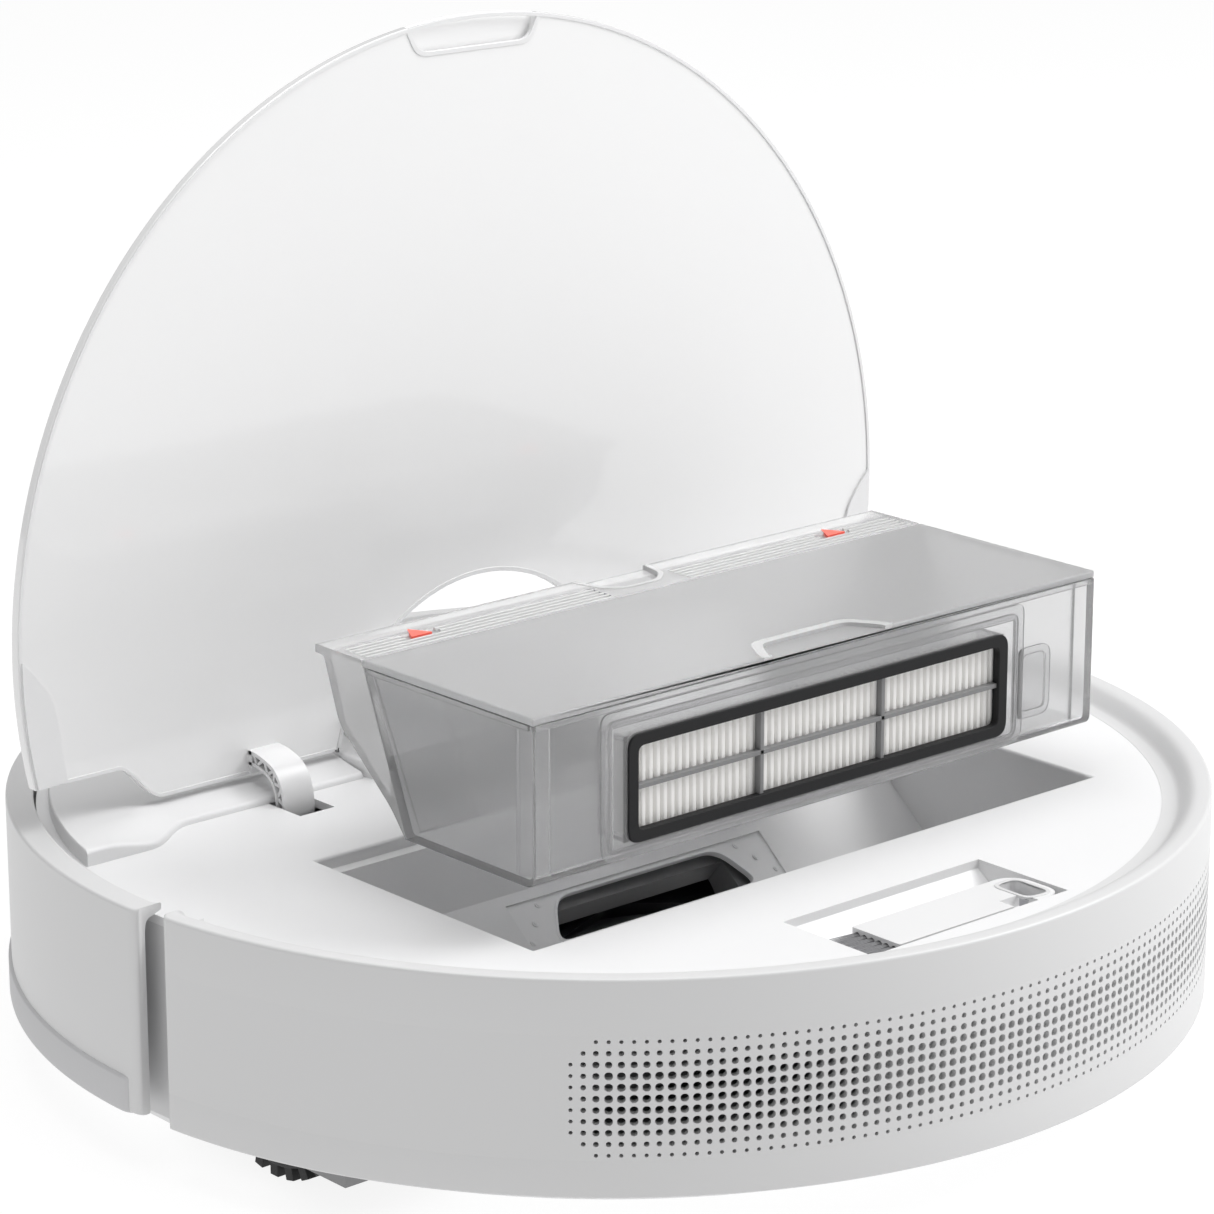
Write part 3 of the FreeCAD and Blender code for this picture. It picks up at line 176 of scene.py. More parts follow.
for source, output, target, socket in (
        (given, "Vector", cloud, "Vector"), (given, "Vector", grain, "Vector"),
        (given, "Grain size", grain, "Scale"), (cloud, "Fac", level, 0), (level, 0, shade, 0),
        (given, "Mottle", shade, 1), (given, "Colour", tint, 0), (shade, 0, tint, "Scale"),
        (level, 0, rough, 0), (given, "Wander", rough, 1), (given, "Roughness", rough, 2),
        (grain, "Fac", bump, "Height"), (given, "Grain depth", bump, "Strength"),
        (tint, 0, out, "Colour"), (rough, 0, out, "Roughness"), (bump, "Normal", out, "Normal")):
    moulded.links.new(source.outputs[output], target.inputs[socket])
print("group", moulded.name, "nodes", len(moulded.nodes))

# %% [markdown]
# ## Materials
# One function makes a plastic from the group. What stays the same all over a surface,
# such as coat or transmission, is set straight on the shader.

# %% Plastics and rubbers
def moulded_material(name, colour, roughness, mottle=0.03, wander=0.06, size=2500.0, depth=0.06, **shader):
    """A material whose colour, roughness and normal come from the moulded surface group."""
    material = bpy.data.materials.new(name)
    material.use_nodes = True
    tree = material.node_tree
    surface = tree.nodes["Principled BSDF"]
    for label, value in shader.items():
        surface.inputs[label.replace("_", " ")].default_value = value
    detail = node_of(tree, "ShaderNodeGroup", node_tree=moulded)
    for label, value in (("Colour", (*colour, 1)), ("Mottle", mottle), ("Roughness", roughness),
                         ("Wander", wander), ("Grain size", size), ("Grain depth", depth)):
        detail.inputs[label].default_value = value
    place = tree.nodes.new("ShaderNodeTexCoord")
    tree.links.new(place.outputs["Object"], detail.inputs["Vector"])
    for made_by, read_by in (("Colour", "Base Color"), ("Roughness", "Roughness"), ("Normal", "Normal")):
        tree.links.new(detail.outputs[made_by], surface.inputs[read_by])
    return material


# This white is a darker copy of the deck's white plastic: painted shade for the side walls, also used on the
# bumper and the tool's loop.
SHADED_WHITE = moulded_material("white_with_painted_shade", (0.72, 0.72, 0.723), 0.38, mottle=0.02)
WHITE_DECK = moulded_material("white_deck", (0.84, 0.84, 0.845), 0.42, mottle=0.015)
WHITE_LID = moulded_material("white_lid", (0.9, 0.9, 0.902), 0.14, mottle=0.012, wander=0.03, depth=0.0,
                             Coat_Weight=1.0, Coat_Roughness=0.04)
WHITE_EDGE = moulded_material("white_edge", (0.82, 0.82, 0.825), 0.3, mottle=0.015)
BAND_GREY = moulded_material("band_grey", (0.62, 0.62, 0.63), 0.6, mottle=0.05, size=1500, depth=0.15)
BAY_GREY = moulded_material("bay_grey", (0.84, 0.84, 0.845), 0.42, mottle=0.06)
PLATE_GREY = moulded_material("plate_grey", (0.88, 0.88, 0.885), 0.35, mottle=0.05)
DUCT_GREY = moulded_material("duct_grey", (0.24, 0.24, 0.245), 0.45, mottle=0.08)
DARK_PLASTIC = moulded_material("dark_plastic", (0.045, 0.047, 0.05), 0.45, mottle=0.2, depth=0.2)
BLACK_RUBBER = moulded_material("black_rubber", (0.012, 0.012, 0.013), 0.62, mottle=0.3, size=1800, depth=0.3)
SEAL_RUBBER = moulded_material("seal_rubber", (0.014, 0.014, 0.015), 0.6, mottle=0.15, size=2200, depth=0.2,
                               Specular_IOR_Level=0.25)
FIN_RUBBER = moulded_material("fin_rubber", (0.012, 0.012, 0.014), 0.36, mottle=0.2, depth=0.1)
PAN_WHITE = moulded_material("pan_white", (0.70, 0.70, 0.705), 0.5, mottle=0.03, depth=0.1)
RED_MARK = moulded_material("red_mark", (1.0, 0.135, 0.09), 0.35, mottle=0.03)
BOARD = moulded_material("board_green", (0.02, 0.11, 0.05), 0.4, mottle=0.3, size=900, depth=0.3)
CELL_WRAP = moulded_material("cell_wrap", (0.03, 0.05, 0.16), 0.3, mottle=0.1)
STEEL = moulded_material("steel", (0.55, 0.55, 0.57), 0.3, mottle=0.05, wander=0.15, Metallic=1.0)
BRASS = moulded_material("brass", (0.72, 0.5, 0.2), 0.25, mottle=0.08, wander=0.15, Metallic=1.0)
print("plastics", len(bpy.data.materials))

# %% [markdown]
# The bin is a smoky clear plastic with a satin inner face, so light goes through it but
# shapes behind it blur. Full glass would look like a crystal block; a rough transmission
# with a grey colour gives the cloudy look.

# %% Clear plastics
SMOKE = moulded_material("clear_smoke", (0.93, 0.93, 0.933), 0.17, mottle=0.03, depth=0.02,
                         Transmission_Weight=0.9, IOR=1.28)
SMOKE_TOP = moulded_material("clear_smoke_top", (0.82, 0.82, 0.823), 0.3, mottle=0.05, depth=0.03,
                             Transmission_Weight=0.72, IOR=1.3)
STRIP_CLEAR = moulded_material("clear_strip", (0.94, 0.94, 0.943), 0.16, mottle=0.02, depth=0.0,
                               Transmission_Weight=0.68, IOR=1.38)
RIB_CLEAR = moulded_material("clear_rib", (0.95, 0.95, 0.953), 0.22, mottle=0.02, depth=0.0,
                             Transmission_Weight=0.45, IOR=1.4)
CLEAR = moulded_material("clear_frame", (0.93, 0.93, 0.935), 0.12, mottle=0.02, depth=0.0,
                         Transmission_Weight=0.85, IOR=1.4)

# %% [markdown]
# The filter's paper is matt and fibrous. Bristles and tufts are fine lines along their
# length; a strong mottle and a deep fine grain from the same noise group stand in for them without thousands
# of hairs.

# %% Paper and bristle
PAPER = moulded_material("filter_paper", (0.97, 0.96, 0.94), 0.85, mottle=0.06, size=1400, depth=0.35)
BRISTLE = moulded_material("bristle", (0.3, 0.3, 0.31), 0.5, mottle=0.5, size=4000, depth=0.6)
SIDE_BRISTLE = moulded_material("side_bristle", (0.5, 0.5, 0.51), 0.45, mottle=0.4, size=4000, depth=0.6)
FLOOR_PAINT = moulded_material("floor_paint", (0.14, 0.14, 0.14), 0.8, mottle=0.0, depth=0.0,
                               Emission_Color=(1, 1, 1, 1), Emission_Strength=0.88)
floor.data.materials.append(FLOOR_PAINT)
print("materials", len(bpy.data.materials))

# %% [markdown]
# ## Making meshes from arrays
# A grid of points becomes quads by numbering; an outline becomes a prism; a closed
# profile turned about an axis becomes a ring. All three work on whole arrays.

# %% Mesh helpers
def grid_faces(rows, columns, wrap_rows=False, wrap_columns=False):
    """Quads of a grid whose point (i, j) has number i * columns + j."""
    i = np.arange(rows if wrap_rows else rows - 1)[:, None]
    j = np.arange(columns if wrap_columns else columns - 1)[None, :]
    up, side = (i + 1) % rows, (j + 1) % columns
    quads = np.stack([i * columns + j, i * columns + side, up * columns + side, up * columns + j], -1)
    return quads.reshape(-1, 4)


def piece(name, points, faces, body, material, nodes=(), slot=None, bevel=0.0, smooth=32, steps=2):
    """A finished piece: mesh in metres with outward faces, riding on a body of the frame."""
    mesh = bpy.data.meshes.new(name)
    mesh.from_pydata((np.asarray(points, float) * MM).tolist(), [], [list(map(int, f)) for f in faces])
    work = bmesh.new()
    work.from_mesh(mesh)
    bmesh.ops.remove_doubles(work, verts=work.verts, dist=1e-6)
    bmesh.ops.recalc_face_normals(work, faces=work.faces)
    work.to_mesh(mesh)
    work.free()
    mesh.shade_smooth()
    mesh.set_sharp_from_angle(angle=math.radians(smooth))
    mesh.materials.append(material)
    made_piece = bpy.data.objects.new(name, mesh)
    bpy.context.scene.collection.objects.link(made_piece)
    if bevel:
        edge = made_piece.modifiers.new("edge", "BEVEL")
        edge.width = bevel * MM
        edge.segments = steps
        edge.limit_method = "ANGLE"
        edge.angle_limit = math.radians(40)
        edge.harden_normals = True
    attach(made_piece, body)
    if nodes:
        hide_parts(*nodes)
    made.append(made_piece)
    return made_piece


def eased(points, radius, steps=6):
    """A closed outline with soft corners: near each corner P the line follows
    (1-t)^2 A + 2t(1-t) P + t^2 B, where A and B lie `radius` before and after P."""
    corner = np.asarray(points, float)
    room = np.broadcast_to(np.asarray(radius, float), len(corner))[:, None]
    sides = [np.roll(corner, 1, 0) - corner, np.roll(corner, -1, 0) - corner]
    ends = []
    for side in sides:
        length = np.linalg.norm(side, axis=1, keepdims=True)
        ends.append(corner + side / length * np.minimum(room, 0.49 * length))
    t = np.linspace(0, 1, steps)[None, :, None]
    curve = (1 - t) ** 2 * ends[0][:, None] + 2 * t * (1 - t) * corner[:, None] + t ** 2 * ends[1][:, None]
    return curve.reshape(-1, 2)


def block(x0, x1, y0, y1):
    """The four corners of a rectangle."""
    return np.array([(x0, y0), (x1, y0), (x1, y1), (x0, y1)], float)


def circle(centre, radius, count):
    """A ring of points: centre + r (cos a, sin a)."""
    turn = np.arange(count) * (2 * np.pi / count)
    return np.column_stack([centre[0] + radius * np.cos(turn), centre[1] + radius * np.sin(turn)])


def symmetric(half, radii, steps=6):
    """An eased outline from its left half; the right half mirrors it, x turned to -x."""
    return eased([*half, *[(-x, y) for x, y in half[::-1]]], [*radii, *radii[::-1]], steps)


def prism(outline, low, high, axis="z"):
    """Points and faces of a flat outline given thickness along an axis.
    The outline's two values are (x, y) for z, (x, z) for y and (y, z) for x."""
    flat = np.asarray(outline, float)
    count = len(flat)
    ends = [np.column_stack([flat, np.full(count, level)]) for level in (low, high)]
    order = {"z": [0, 1, 2], "y": [0, 2, 1], "x": [2, 0, 1]}[axis]
    points = np.vstack(ends)[:, order]
    sides = grid_faces(2, count, wrap_columns=True)
    return points, [*sides.tolist(), list(range(count))[::-1], list(range(count, 2 * count))]


def turned(profile, count=96, centre=(0.0, 0.0), degrees=None, squeeze=None):
    """A closed profile of (radius, height) carried round a vertical axis:
    x = cx + r cos a, y = cy + r sin a, z = h. A list of angles makes a part turn with
    flat ends; `squeeze` gives how far the profile is drawn in at each angle."""
    shape = np.asarray(profile, float)
    full = degrees is None
    angle = np.radians(np.linspace(0, 360, count, endpoint=False) if full else degrees)
    radius = shape[None, :, 0] - (0 if squeeze is None else squeeze(angle)[:, None])
    points = np.stack(np.broadcast_arrays(centre[0] + radius * np.cos(angle)[:, None],
                                          centre[1] + radius * np.sin(angle)[:, None], shape[None, :, 1]), -1)
    rows, across = len(angle), len(shape)
    faces = grid_faces(rows, across, wrap_rows=full, wrap_columns=True).tolist()
    if not full:
        faces += [list(range(across)), list(range((rows - 1) * across, rows * across))[::-1]]
    return points.reshape(-1, 3), faces


def lofted(rings, closed=False):
    """Rings with equally many points made one skin; the ends are capped or meet each other."""
    count, last = len(rings[0]), (len(rings) - 1) * len(rings[0])
    faces = grid_faces(len(rings), count, wrap_rows=closed, wrap_columns=True).tolist()
    if not closed:
        faces += [list(range(count))[::-1], list(range(last, last + count))]
    return np.vstack(rings), faces


def joined(*parts):
    """Several point and face lists as one."""
    points, faces, start = [], [], 0
    for some_points, some_faces in parts:
        points.append(np.asarray(some_points, float).reshape(-1, 3))
        faces += [[index + start for index in face] for face in some_faces]
        start += len(points[-1])
    return np.vstack(points), faces


def carve(base, *cutters):
    """Take cutter shapes out of a piece with exact booleans, then drop the cutters."""
    for number, (points, faces) in enumerate(cutters):
        mesh = bpy.data.meshes.new("cutter")
        mesh.from_pydata((np.asarray(points, float) * MM).tolist(), [], [list(map(int, f)) for f in faces])
        work = bmesh.new()
        work.from_mesh(mesh)
        bmesh.ops.recalc_face_normals(work, faces=work.faces)
        work.to_mesh(mesh)
        work.free()
        tool = bpy.data.objects.new("cutter", mesh)
        bpy.context.scene.collection.objects.link(tool)
        cut = base.modifiers.new(f"cut_{number}", "BOOLEAN")
        cut.object = tool
        cut.solver = "EXACT"
        base.modifiers.move(len(base.modifiers) - 1, 0)
        with bpy.context.temp_override(object=base, active_object=base):
            bpy.ops.object.modifier_apply(modifier=cut.name)
        bpy.data.objects.remove(tool)
    base.data.shade_smooth()
    base.data.set_sharp_from_angle(angle=math.radians(32))
    return base


print("helpers ready")

# %% [markdown]
# ## Rear shell with its exhaust field
# The side wall is a thin ring with a rolled rim. Air leaves through hundreds of small
# round holes that shrink towards the edge of the field. A texture could fake them, but
# real holes show their depth from every side. The wall is laid out as cells: a cell with
# a hole is a ring of quads between the cell's border and a circle.

# %% Exhaust hole field
CELL_TURN, CELL_TALL, FIELD_Z = 1.065, 3.08, 43.3
COLUMNS, ROWS = 42, 5
SPLIT = math.degrees(math.asin(17.5 / SHELL))


def hole_radius(column, row):
    """Radius of the hole in a cell, 0 outside the field: small at the border, then growing."""
    from_middle, from_row = np.abs(column), np.abs(row)
    tallest = ROWS - np.clip(from_middle - COLUMNS + 2, 0, 2)
    inside = np.minimum(COLUMNS - from_middle, ROWS - from_row)
    inside = np.minimum(inside, (tallest - from_row) + (COLUMNS - from_middle) * 0.5)
    size = 0.55 + 0.2 * np.clip(inside, 0, 3)
    return np.where((from_row <= tallest) & (from_middle <= COLUMNS), size, 0.0)


reach = int((90 - SPLIT) / CELL_TURN - 0.5)
column, row = np.meshgrid(np.arange(-reach, reach + 1), np.arange(-ROWS, ROWS + 1), indexing="ij")
column, row = column.ravel(), row.ravel()
print("cells", len(column), "holes", int((hole_radius(column, row) > 0).sum()))

# %% [markdown]
# Each cell's border has twelve points, three to a side, and its circle has twelve too,
# so they pair up. Outer wall, inner wall and the tube of each hole come from one array.

# %% Shell wall mesh
BORDER = np.array([(-1, -1), (-1 / 3, -1), (1 / 3, -1), (1, -1), (1, -1 / 3), (1, 1 / 3),
                   (1, 1), (1 / 3, 1), (-1 / 3, 1), (-1, 1), (-1, 1 / 3), (-1, -1 / 3)]) / 2
FIELD_LOW, FIELD_HIGH = FIELD_Z - (ROWS + 0.5) * CELL_TALL, FIELD_Z + (ROWS + 0.5) * CELL_TALL
WALL = 2.2


def shell_point(turn, height, radius):
    """Point on the wall: turn in degrees from the rear centre line, height, distance out."""
    angle = np.radians(turn - 90)
    edge = np.radians(90 - SPLIT) - np.abs(np.radians(turn))
    tuck = np.clip(1 - edge * SHELL / 2.5, 0, 1)
    radius = radius - 1.6 * (1 - np.sqrt(np.clip(1 - tuck ** 2, 0, 1)))
    return np.stack(np.broadcast_arrays(radius * np.cos(angle), radius * np.sin(angle), height), -1)


def cell_rings(column, row, radius):
    """Border points and hole points of cells: centre + border, centre + r (cos, sin)."""
    turn = (column[:, None] + BORDER[None, :, 0]) * CELL_TURN
    height = FIELD_Z + (row[:, None] + BORDER[None, :, 1]) * CELL_TALL
    around = np.arctan2(BORDER[:, 1], BORDER[:, 0])[None, :]
    hole = hole_radius(column, row)[:, None]
    hole_turn = column[:, None] * CELL_TURN + np.degrees(hole / SHELL) * np.cos(around)
    hole_height = FIELD_Z + row[:, None] * CELL_TALL + hole * np.sin(around)
    return shell_point(turn, height, radius), shell_point(hole_turn, hole_height, radius)


def paired(first, second):
    """Quads between two twelve-point loops of every cell."""
    base = np.arange(12)
    quad = np.stack([base, (base + 1) % 12, 12 + (base + 1) % 12, 12 + base], -1)
    faces = (np.arange(len(first))[:, None, None] * 24 + quad).reshape(-1, 4)
    return np.concatenate([first, second], 1).reshape(-1, 3), faces.tolist()


has_hole = hole_radius(column, row) > 0
parts, mouths = [], []
for radius in (SHELL, SHELL - WALL):
    border, hole = cell_rings(column, row, radius)
    closed_cells = border[~has_hole]
    parts.append(paired(border[has_hole], hole[has_hole]))
    parts.append((closed_cells.reshape(-1, 3), np.arange(len(closed_cells) * 12).reshape(-1, 12).tolist()))
    mouths.append(hole[has_hole])
parts.append(paired(*mouths))
print("wall parts", len(parts))

# %% [markdown]
# Above and below the field the wall is a profile turned in the same steps as the cells,
# so the two meet point for point. The same profile rolls over the rim and down to the deck.

# %% Shell rim, skirt and ends
turn_steps = (np.arange(-3 * reach - 1.5, 3 * reach + 1.6) / 3) * CELL_TURN
turn_steps = np.concatenate([[-(90 - SPLIT)], turn_steps, [90 - SPLIT]])
crown = eased([(SHELL, FIELD_HIGH), (SHELL, RIM), (SHELL - 6.0, RIM), (SHELL - 9.0, DECK + 0.18),
               (SHELL - 14, DECK + 0.1), (SHELL - 14, DECK - 0.4), (SHELL - 8.2, DECK - 0.4),
               (SHELL - WALL, DECK - 4.5), (SHELL - WALL, FIELD_HIGH)],
              [0.01, 1.1, 2.6, 1.2, 0.02, 0.02, 0.5, 0.5, 0.01], 7)
hem = eased([(SHELL - WALL, FIELD_LOW), (SHELL - WALL, SKIRT), (SHELL, SKIRT), (SHELL, FIELD_LOW)],
            [0.01, 0.7, 0.7, 0.01], 5)
for strip in (crown, hem):
    sweep = shell_point(turn_steps[:, None], strip[None, :, 1], strip[None, :, 0])
    parts.append((sweep.reshape(-1, 3), grid_faces(len(turn_steps), len(strip)).tolist()))
levels = FIELD_Z + (np.arange(3 * (2 * ROWS + 1) + 1) / 3 - (ROWS + 0.5)) * CELL_TALL
for side in (-1, 1):
    last = side * np.array([(reach + 0.5) * CELL_TURN, 90 - SPLIT])
    for radius in (SHELL, SHELL - WALL):
        flank = shell_point(last[:, None], levels[None, :], radius)
        parts.append((flank.reshape(-1, 3), grid_faces(2, len(levels)).tolist()))
    rise = np.concatenate([hem[::-1], [(SHELL, z) for z in levels[1:-1]], crown,
                           [(SHELL - WALL, z) for z in levels[::-1][1:-1]]])
    cap = shell_point(np.full(len(rise), side * (90 - SPLIT)), rise[:, 1], rise[:, 0])
    parts.append((cap, [list(range(len(rise)))]))
shell = piece("rear_shell_skin", *joined(*parts), "chassis", SHADED_WHITE, ["rear_shell"],
              "white_gloss", smooth=40)
print("rear shell faces", len(shell.data.polygons))

# %% [markdown]
# ## Bumper and its soft band
# The front half of the wall is a sprung bumper: the same turned wall as the shell, with
# its free ends tucked in so that they look like moulded edges, and a lip on top.

# %% Bumper
def end_tuck(first, last, depth, length):
    """How far a turned wall draws in near its two ends: depth (1 - sqrt(1 - k^2)), where k
    rises to 1 over the last stretch of the wall."""
    def squeeze(angle):
        left = np.minimum(angle - math.radians(first), math.radians(last) - angle) * SHELL
        k = np.clip(1 - left / length, 0, 1)
        return depth * (1 - np.sqrt(np.clip(1 - k ** 2, 0, 1)))
    return squeeze


def close_ends(first, last, count, length=4.0):
    """Angles with extra steps near both ends, so that a tucked end looks round."""
    fine = np.degrees(length / SHELL) * (1 - np.cos(np.linspace(0, np.pi / 2, 9)))
    middle = np.linspace(first + fine[-1], last - fine[-1], count)
    return np.concatenate([first + fine[:-1], middle, last - fine[:-1][::-1]])


BUMPER_END = -math.degrees(math.asin(7.0 / SHELL))
bumper_wall = eased([(SHELL - WALL, SKIRT), (SHELL, SKIRT), (SHELL, RIM - 1.2), (SHELL - 7.9, RIM - 1.2),
                     (SHELL - 7.9, RIM - 3.2), (SHELL - WALL - 0.6, RIM - 4.8), (SHELL - WALL, RIM - 8)],
                    [0.5, 0.7, 1.1, 0.8, 0.6, 1.5, 1.5], 7)
piece("bumper_skin", *turned(bumper_wall, degrees=close_ends(BUMPER_END, 180 - BUMPER_END, 220),
                             squeeze=end_tuck(BUMPER_END, 180 - BUMPER_END, 1.4, 3.0)),
      "bumper_shell", SHADED_WHITE, ["bumper"], "white_gloss", smooth=40)
BAND_END = -math.degrees(math.asin(2.6 / SHELL))
band = eased([(SHELL - 0.6, SKIRT - 0.7), (SHELL + 0.95, SKIRT - 0.1), (SHELL + 0.95, 25.6),
              (SHELL - 0.3, 26.4)], [0.3, 0.6, 0.5, 0.3], 4)
piece("bumper_band_skin", *turned(band, degrees=close_ends(BAND_END, 180 - BAND_END, 200),
                                  squeeze=end_tuck(BAND_END, 180 - BAND_END, 1.2, 3.5)),
      "bumper_shell", BAND_GREY, ["bumper_band"], "soft_grey")
print("bumper ends at", round(BUMPER_END, 2), "degrees")

# %% [markdown]
# ## Front cover
# Ahead of the lid lies a fixed cover with a shallow scoop along its wavy rear edge and
# wells for two keys. It is a height field: y runs from the rear edge to the front arc,
# z falls in the scoop and rolls off at the border.

# %% Front cover
COVER_R, COVER_Z = 160.4, RIM - 0.5
KEY_X, KEY_Y, EYE_R = 17, 134, 52.6
COVER_TIP = math.sqrt(COVER_R ** 2 - 37.5 ** 2) - 0.15


def soft_step(value):
    """0 below 0, 1 above 1, and 3t^2 - 2t^3 between."""
    t = np.clip(value, 0, 1)
    return t * t * (3 - 2 * t)


def cover_rear(x):
    """The cover's rear edge: set back in the middle, stepping out to the ears on both sides."""
    return 47.6 - 10.1 * soft_step((np.abs(x) - 114.5) / 20)


def cover_height(x, y):
    """Top of the cover: flat, scooped near the rear edge, sunk round both keys."""
    rear = cover_rear(x)
    scoop = 2.6 * soft_step(1 - (y - rear) / 17) * soft_step((150 - np.abs(x)) / 18)
    keys = np.minimum(np.hypot(x - KEY_X, y - KEY_Y), np.hypot(x + KEY_X, y - KEY_Y))
    return COVER_Z - scoop - 1.6 * soft_step((7.6 - keys) / 0.5)


def cover_grid(rows):
    """Grid of (x, y): x packed at the keys and at both rims, y from rear edge or collar to the arc."""
    at_keys, at_eye = np.arange(9, 25.2, 0.5), [EYE_R - 0.02, EYE_R + 0.02, COVER_TIP]
    across = np.unique(np.round(np.concatenate([
        COVER_R * np.sin(np.radians(np.linspace(-90, 90, 181))) * 0.9995,
        at_keys, -at_keys, at_eye, np.negative(at_eye)]), 3))
    across = across[np.abs(across) <= COVER_TIP + 0.001]
    reach = np.sqrt(COVER_R ** 2 - across ** 2)
    eye = TURRET_Y + np.sqrt(np.clip(EYE_R ** 2 - across ** 2, 0, None))
    start = np.where(np.abs(across) < EYE_R, eye, cover_rear(across))
    start = np.minimum(start, reach - 0.01)
    along = start[:, None] + (reach - start)[:, None] * np.linspace(0, 1, rows)
    return np.broadcast_to(across[:, None], along.shape), along


x, y = cover_grid(190)
side = np.minimum(y - y[:, :1], y[:, -1:] - y)
roll = 1.3 * (1 - np.sqrt(np.clip(1 - np.clip(1 - side / 1.3, 0, 1) ** 2, 0, 1)))
top = np.stack([x, y, cover_height(x, y) - roll], -1)
under = np.stack([x, y, np.full_like(x, DECK + 0.02)], -1)
rows, columns = x.shape
face = grid_faces(rows, columns)
number = np.arange(rows * columns).reshape(rows, columns)
border = np.concatenate([number[0], number[1:, -1], number[-1, -2::-1], number[-2:0:-1, 0]])
follow = np.roll(border, -1)
wall = np.stack([border, follow, follow + rows * columns, border + rows * columns], -1)
piece("front_cover_skin", np.concatenate([top.reshape(-1, 3), under.reshape(-1, 3)]),
      np.concatenate([face, face[:, ::-1] + rows * columns, wall]), "chassis", WHITE_DECK, ["front_cover"],
      "white_gloss", smooth=50)
for key, node, x in (("power_key", "power_button", -KEY_X), ("home_key", "home_button", KEY_X)):
    dome = eased([(0, DECK + 2), (6.9, DECK + 2), (6.9, RIM - 0.35), (4.5, RIM - 0.6), (0, RIM - 0.75)],
                 [0.01, 0.3, 0.8, 1.5, 0.01], 5)
    piece(key + "_cap", *turned(dome, count=64, centre=(x, KEY_Y)), key, WHITE_EDGE, [node], "white_gloss")
print("cover grid", rows, columns)

# %% [markdown]
# ## Scanner turret
# A collar, a base ring, thin upright posts and a flat cap. The window between them is
# dark because the scanner head behind it is.

# %% Turret
collar = eased([(34.6, DECK), (52.3, DECK), (52.3, RIM), (43, RIM), (41.4, RIM - 2), (34.6, RIM - 2)],
               [0.2, 0.1, 1.4, 0.9, 0.6, 0.2], 6)
piece("turret_collar_skin", *turned(collar, count=128, centre=(0, TURRET_Y)), "chassis", WHITE_DECK,
      ["turret_collar"], "white_gloss", smooth=40)
TURRET_TOP = corners("turret_cage")[1][2]
foot = eased([(36, RIM - 1.8), (41, RIM - 1.8), (42, RIM), (42, RIM + 5), (36, RIM + 5)],
             [0.2, 0.5, 0.5, 0.8, 0.4], 5)
cap = eased([(0, TURRET_TOP - 3), (36, TURRET_TOP - 3), (36, TURRET_TOP - 6.5), (42, TURRET_TOP - 6.5),
             (42, TURRET_TOP), (37, TURRET_TOP), (36.2, TURRET_TOP - 0.5), (0, TURRET_TOP - 0.3)],
            [0.01, 0.1, 0.2, 0.5, 3.2, 0.4, 0.3, 0.01], 6)
post = np.array([(-1.1, -1.3), (1.1, -1.3), (1.1, 1.3), (-1.1, 1.3)]) + (38.6, 0)
bars = []
for angle in np.radians(np.arange(18) * 20 + 10):
    way = np.array([[math.cos(angle), -math.sin(angle)], [math.sin(angle), math.cos(angle)]])
    section = (post @ way.T) + (0, TURRET_Y)
    bars.append(lofted([np.column_stack([section, np.full(4, level)])
                        for level in (RIM + 4.6, TURRET_TOP - 6)]))
piece("turret_cage_skin", *joined(turned(foot, count=128, centre=(0, TURRET_Y)),
                                  turned(cap, count=128, centre=(0, TURRET_Y)), *bars),
      "chassis", WHITE_DECK, ["turret_cage"], "white_gloss", smooth=40)
print("turret top at", round(TURRET_TOP, 1))

# %% [markdown]
# ## Lid
# The open lid is a thin disc cut by a wavy edge at the hinge side and by a bite that
# clears the turret. Its outline is worked out once, then given thickness and a small
# bevel. The finger pocket at the top is carved out.

# %% Lid outline
def lid_rear(x):
    """Edge of the lid at the hinge side, measured up from the lid's middle."""
    return -46.5 + 11 * soft_step((np.abs(x) - 116) / 15)


def lid_outline(inset=0.0, bite=54.0):
    """Closed outline of the lid as (x, height above its middle): disc, ears, wave and bite."""
    radius = LID_R - inset
    ear = math.degrees(math.asin((-35.5 + inset) / radius))
    arc = np.radians(np.linspace(ear, 180 - ear, 200))
    wave = np.linspace(-radius * math.cos(math.radians(ear)), -53.3, 90)
    gape = math.degrees(math.acos(10.5 / bite))
    turn = np.radians(np.linspace(90 + gape, 90 - gape, 60))
    hollow = np.column_stack([bite * np.cos(turn), -57 + bite * np.sin(turn)])
    left = np.column_stack([wave[1:-1], lid_rear(wave[1:-1]) + inset])
    right = np.column_stack([-wave[1:-1][::-1], lid_rear(wave[1:-1][::-1]) + inset])
    disc = np.column_stack([radius * np.cos(arc), radius * np.sin(arc)])
    return np.concatenate([disc, left, hollow, right])


def on_lid(outline):
    """Outline moved to the open lid's place: height measured from the lid's middle."""
    return np.asarray(outline, float) + (0, LID_Z)


outline = lid_outline()
lid = piece("lid_skin", *prism(on_lid(outline), LID_IN, LID_OUT, "y"), "lid", WHITE_LID, ["lid_panel"],
            "white_gloss", bevel=0.7, steps=3)
pocket = symmetric([(-25.5, 170), (-21.5, 152.5)], [1, 5], 8)
carve(lid, prism(on_lid(pocket), LID_IN - 3, LID_IN + 2.0, "y"))
print("lid outline points", len(outline))

# %% [markdown]
# Raised trims on the lid's inner face: a thin bead round the whole outline and the bite,
# a thicker pad at both ears, and the wall of the finger pocket.

# %% Lid trims
def bead(outer, inner, low, high, closed=True):
    """A flat ring (or an open strip) between two outlines with the same number of points."""
    count = len(outer)
    rings = [np.column_stack([line[:, 0], np.full(count, level), line[:, 1]])
             for line, level in ((outer, low), (outer, high), (inner, high), (inner, low))]
    faces = grid_faces(4, count, wrap_rows=True, wrap_columns=closed).tolist()
    if not closed:
        faces += [[end + ring * count for ring in range(4)] for end in (0, count - 1)]
    return np.vstack(rings), faces


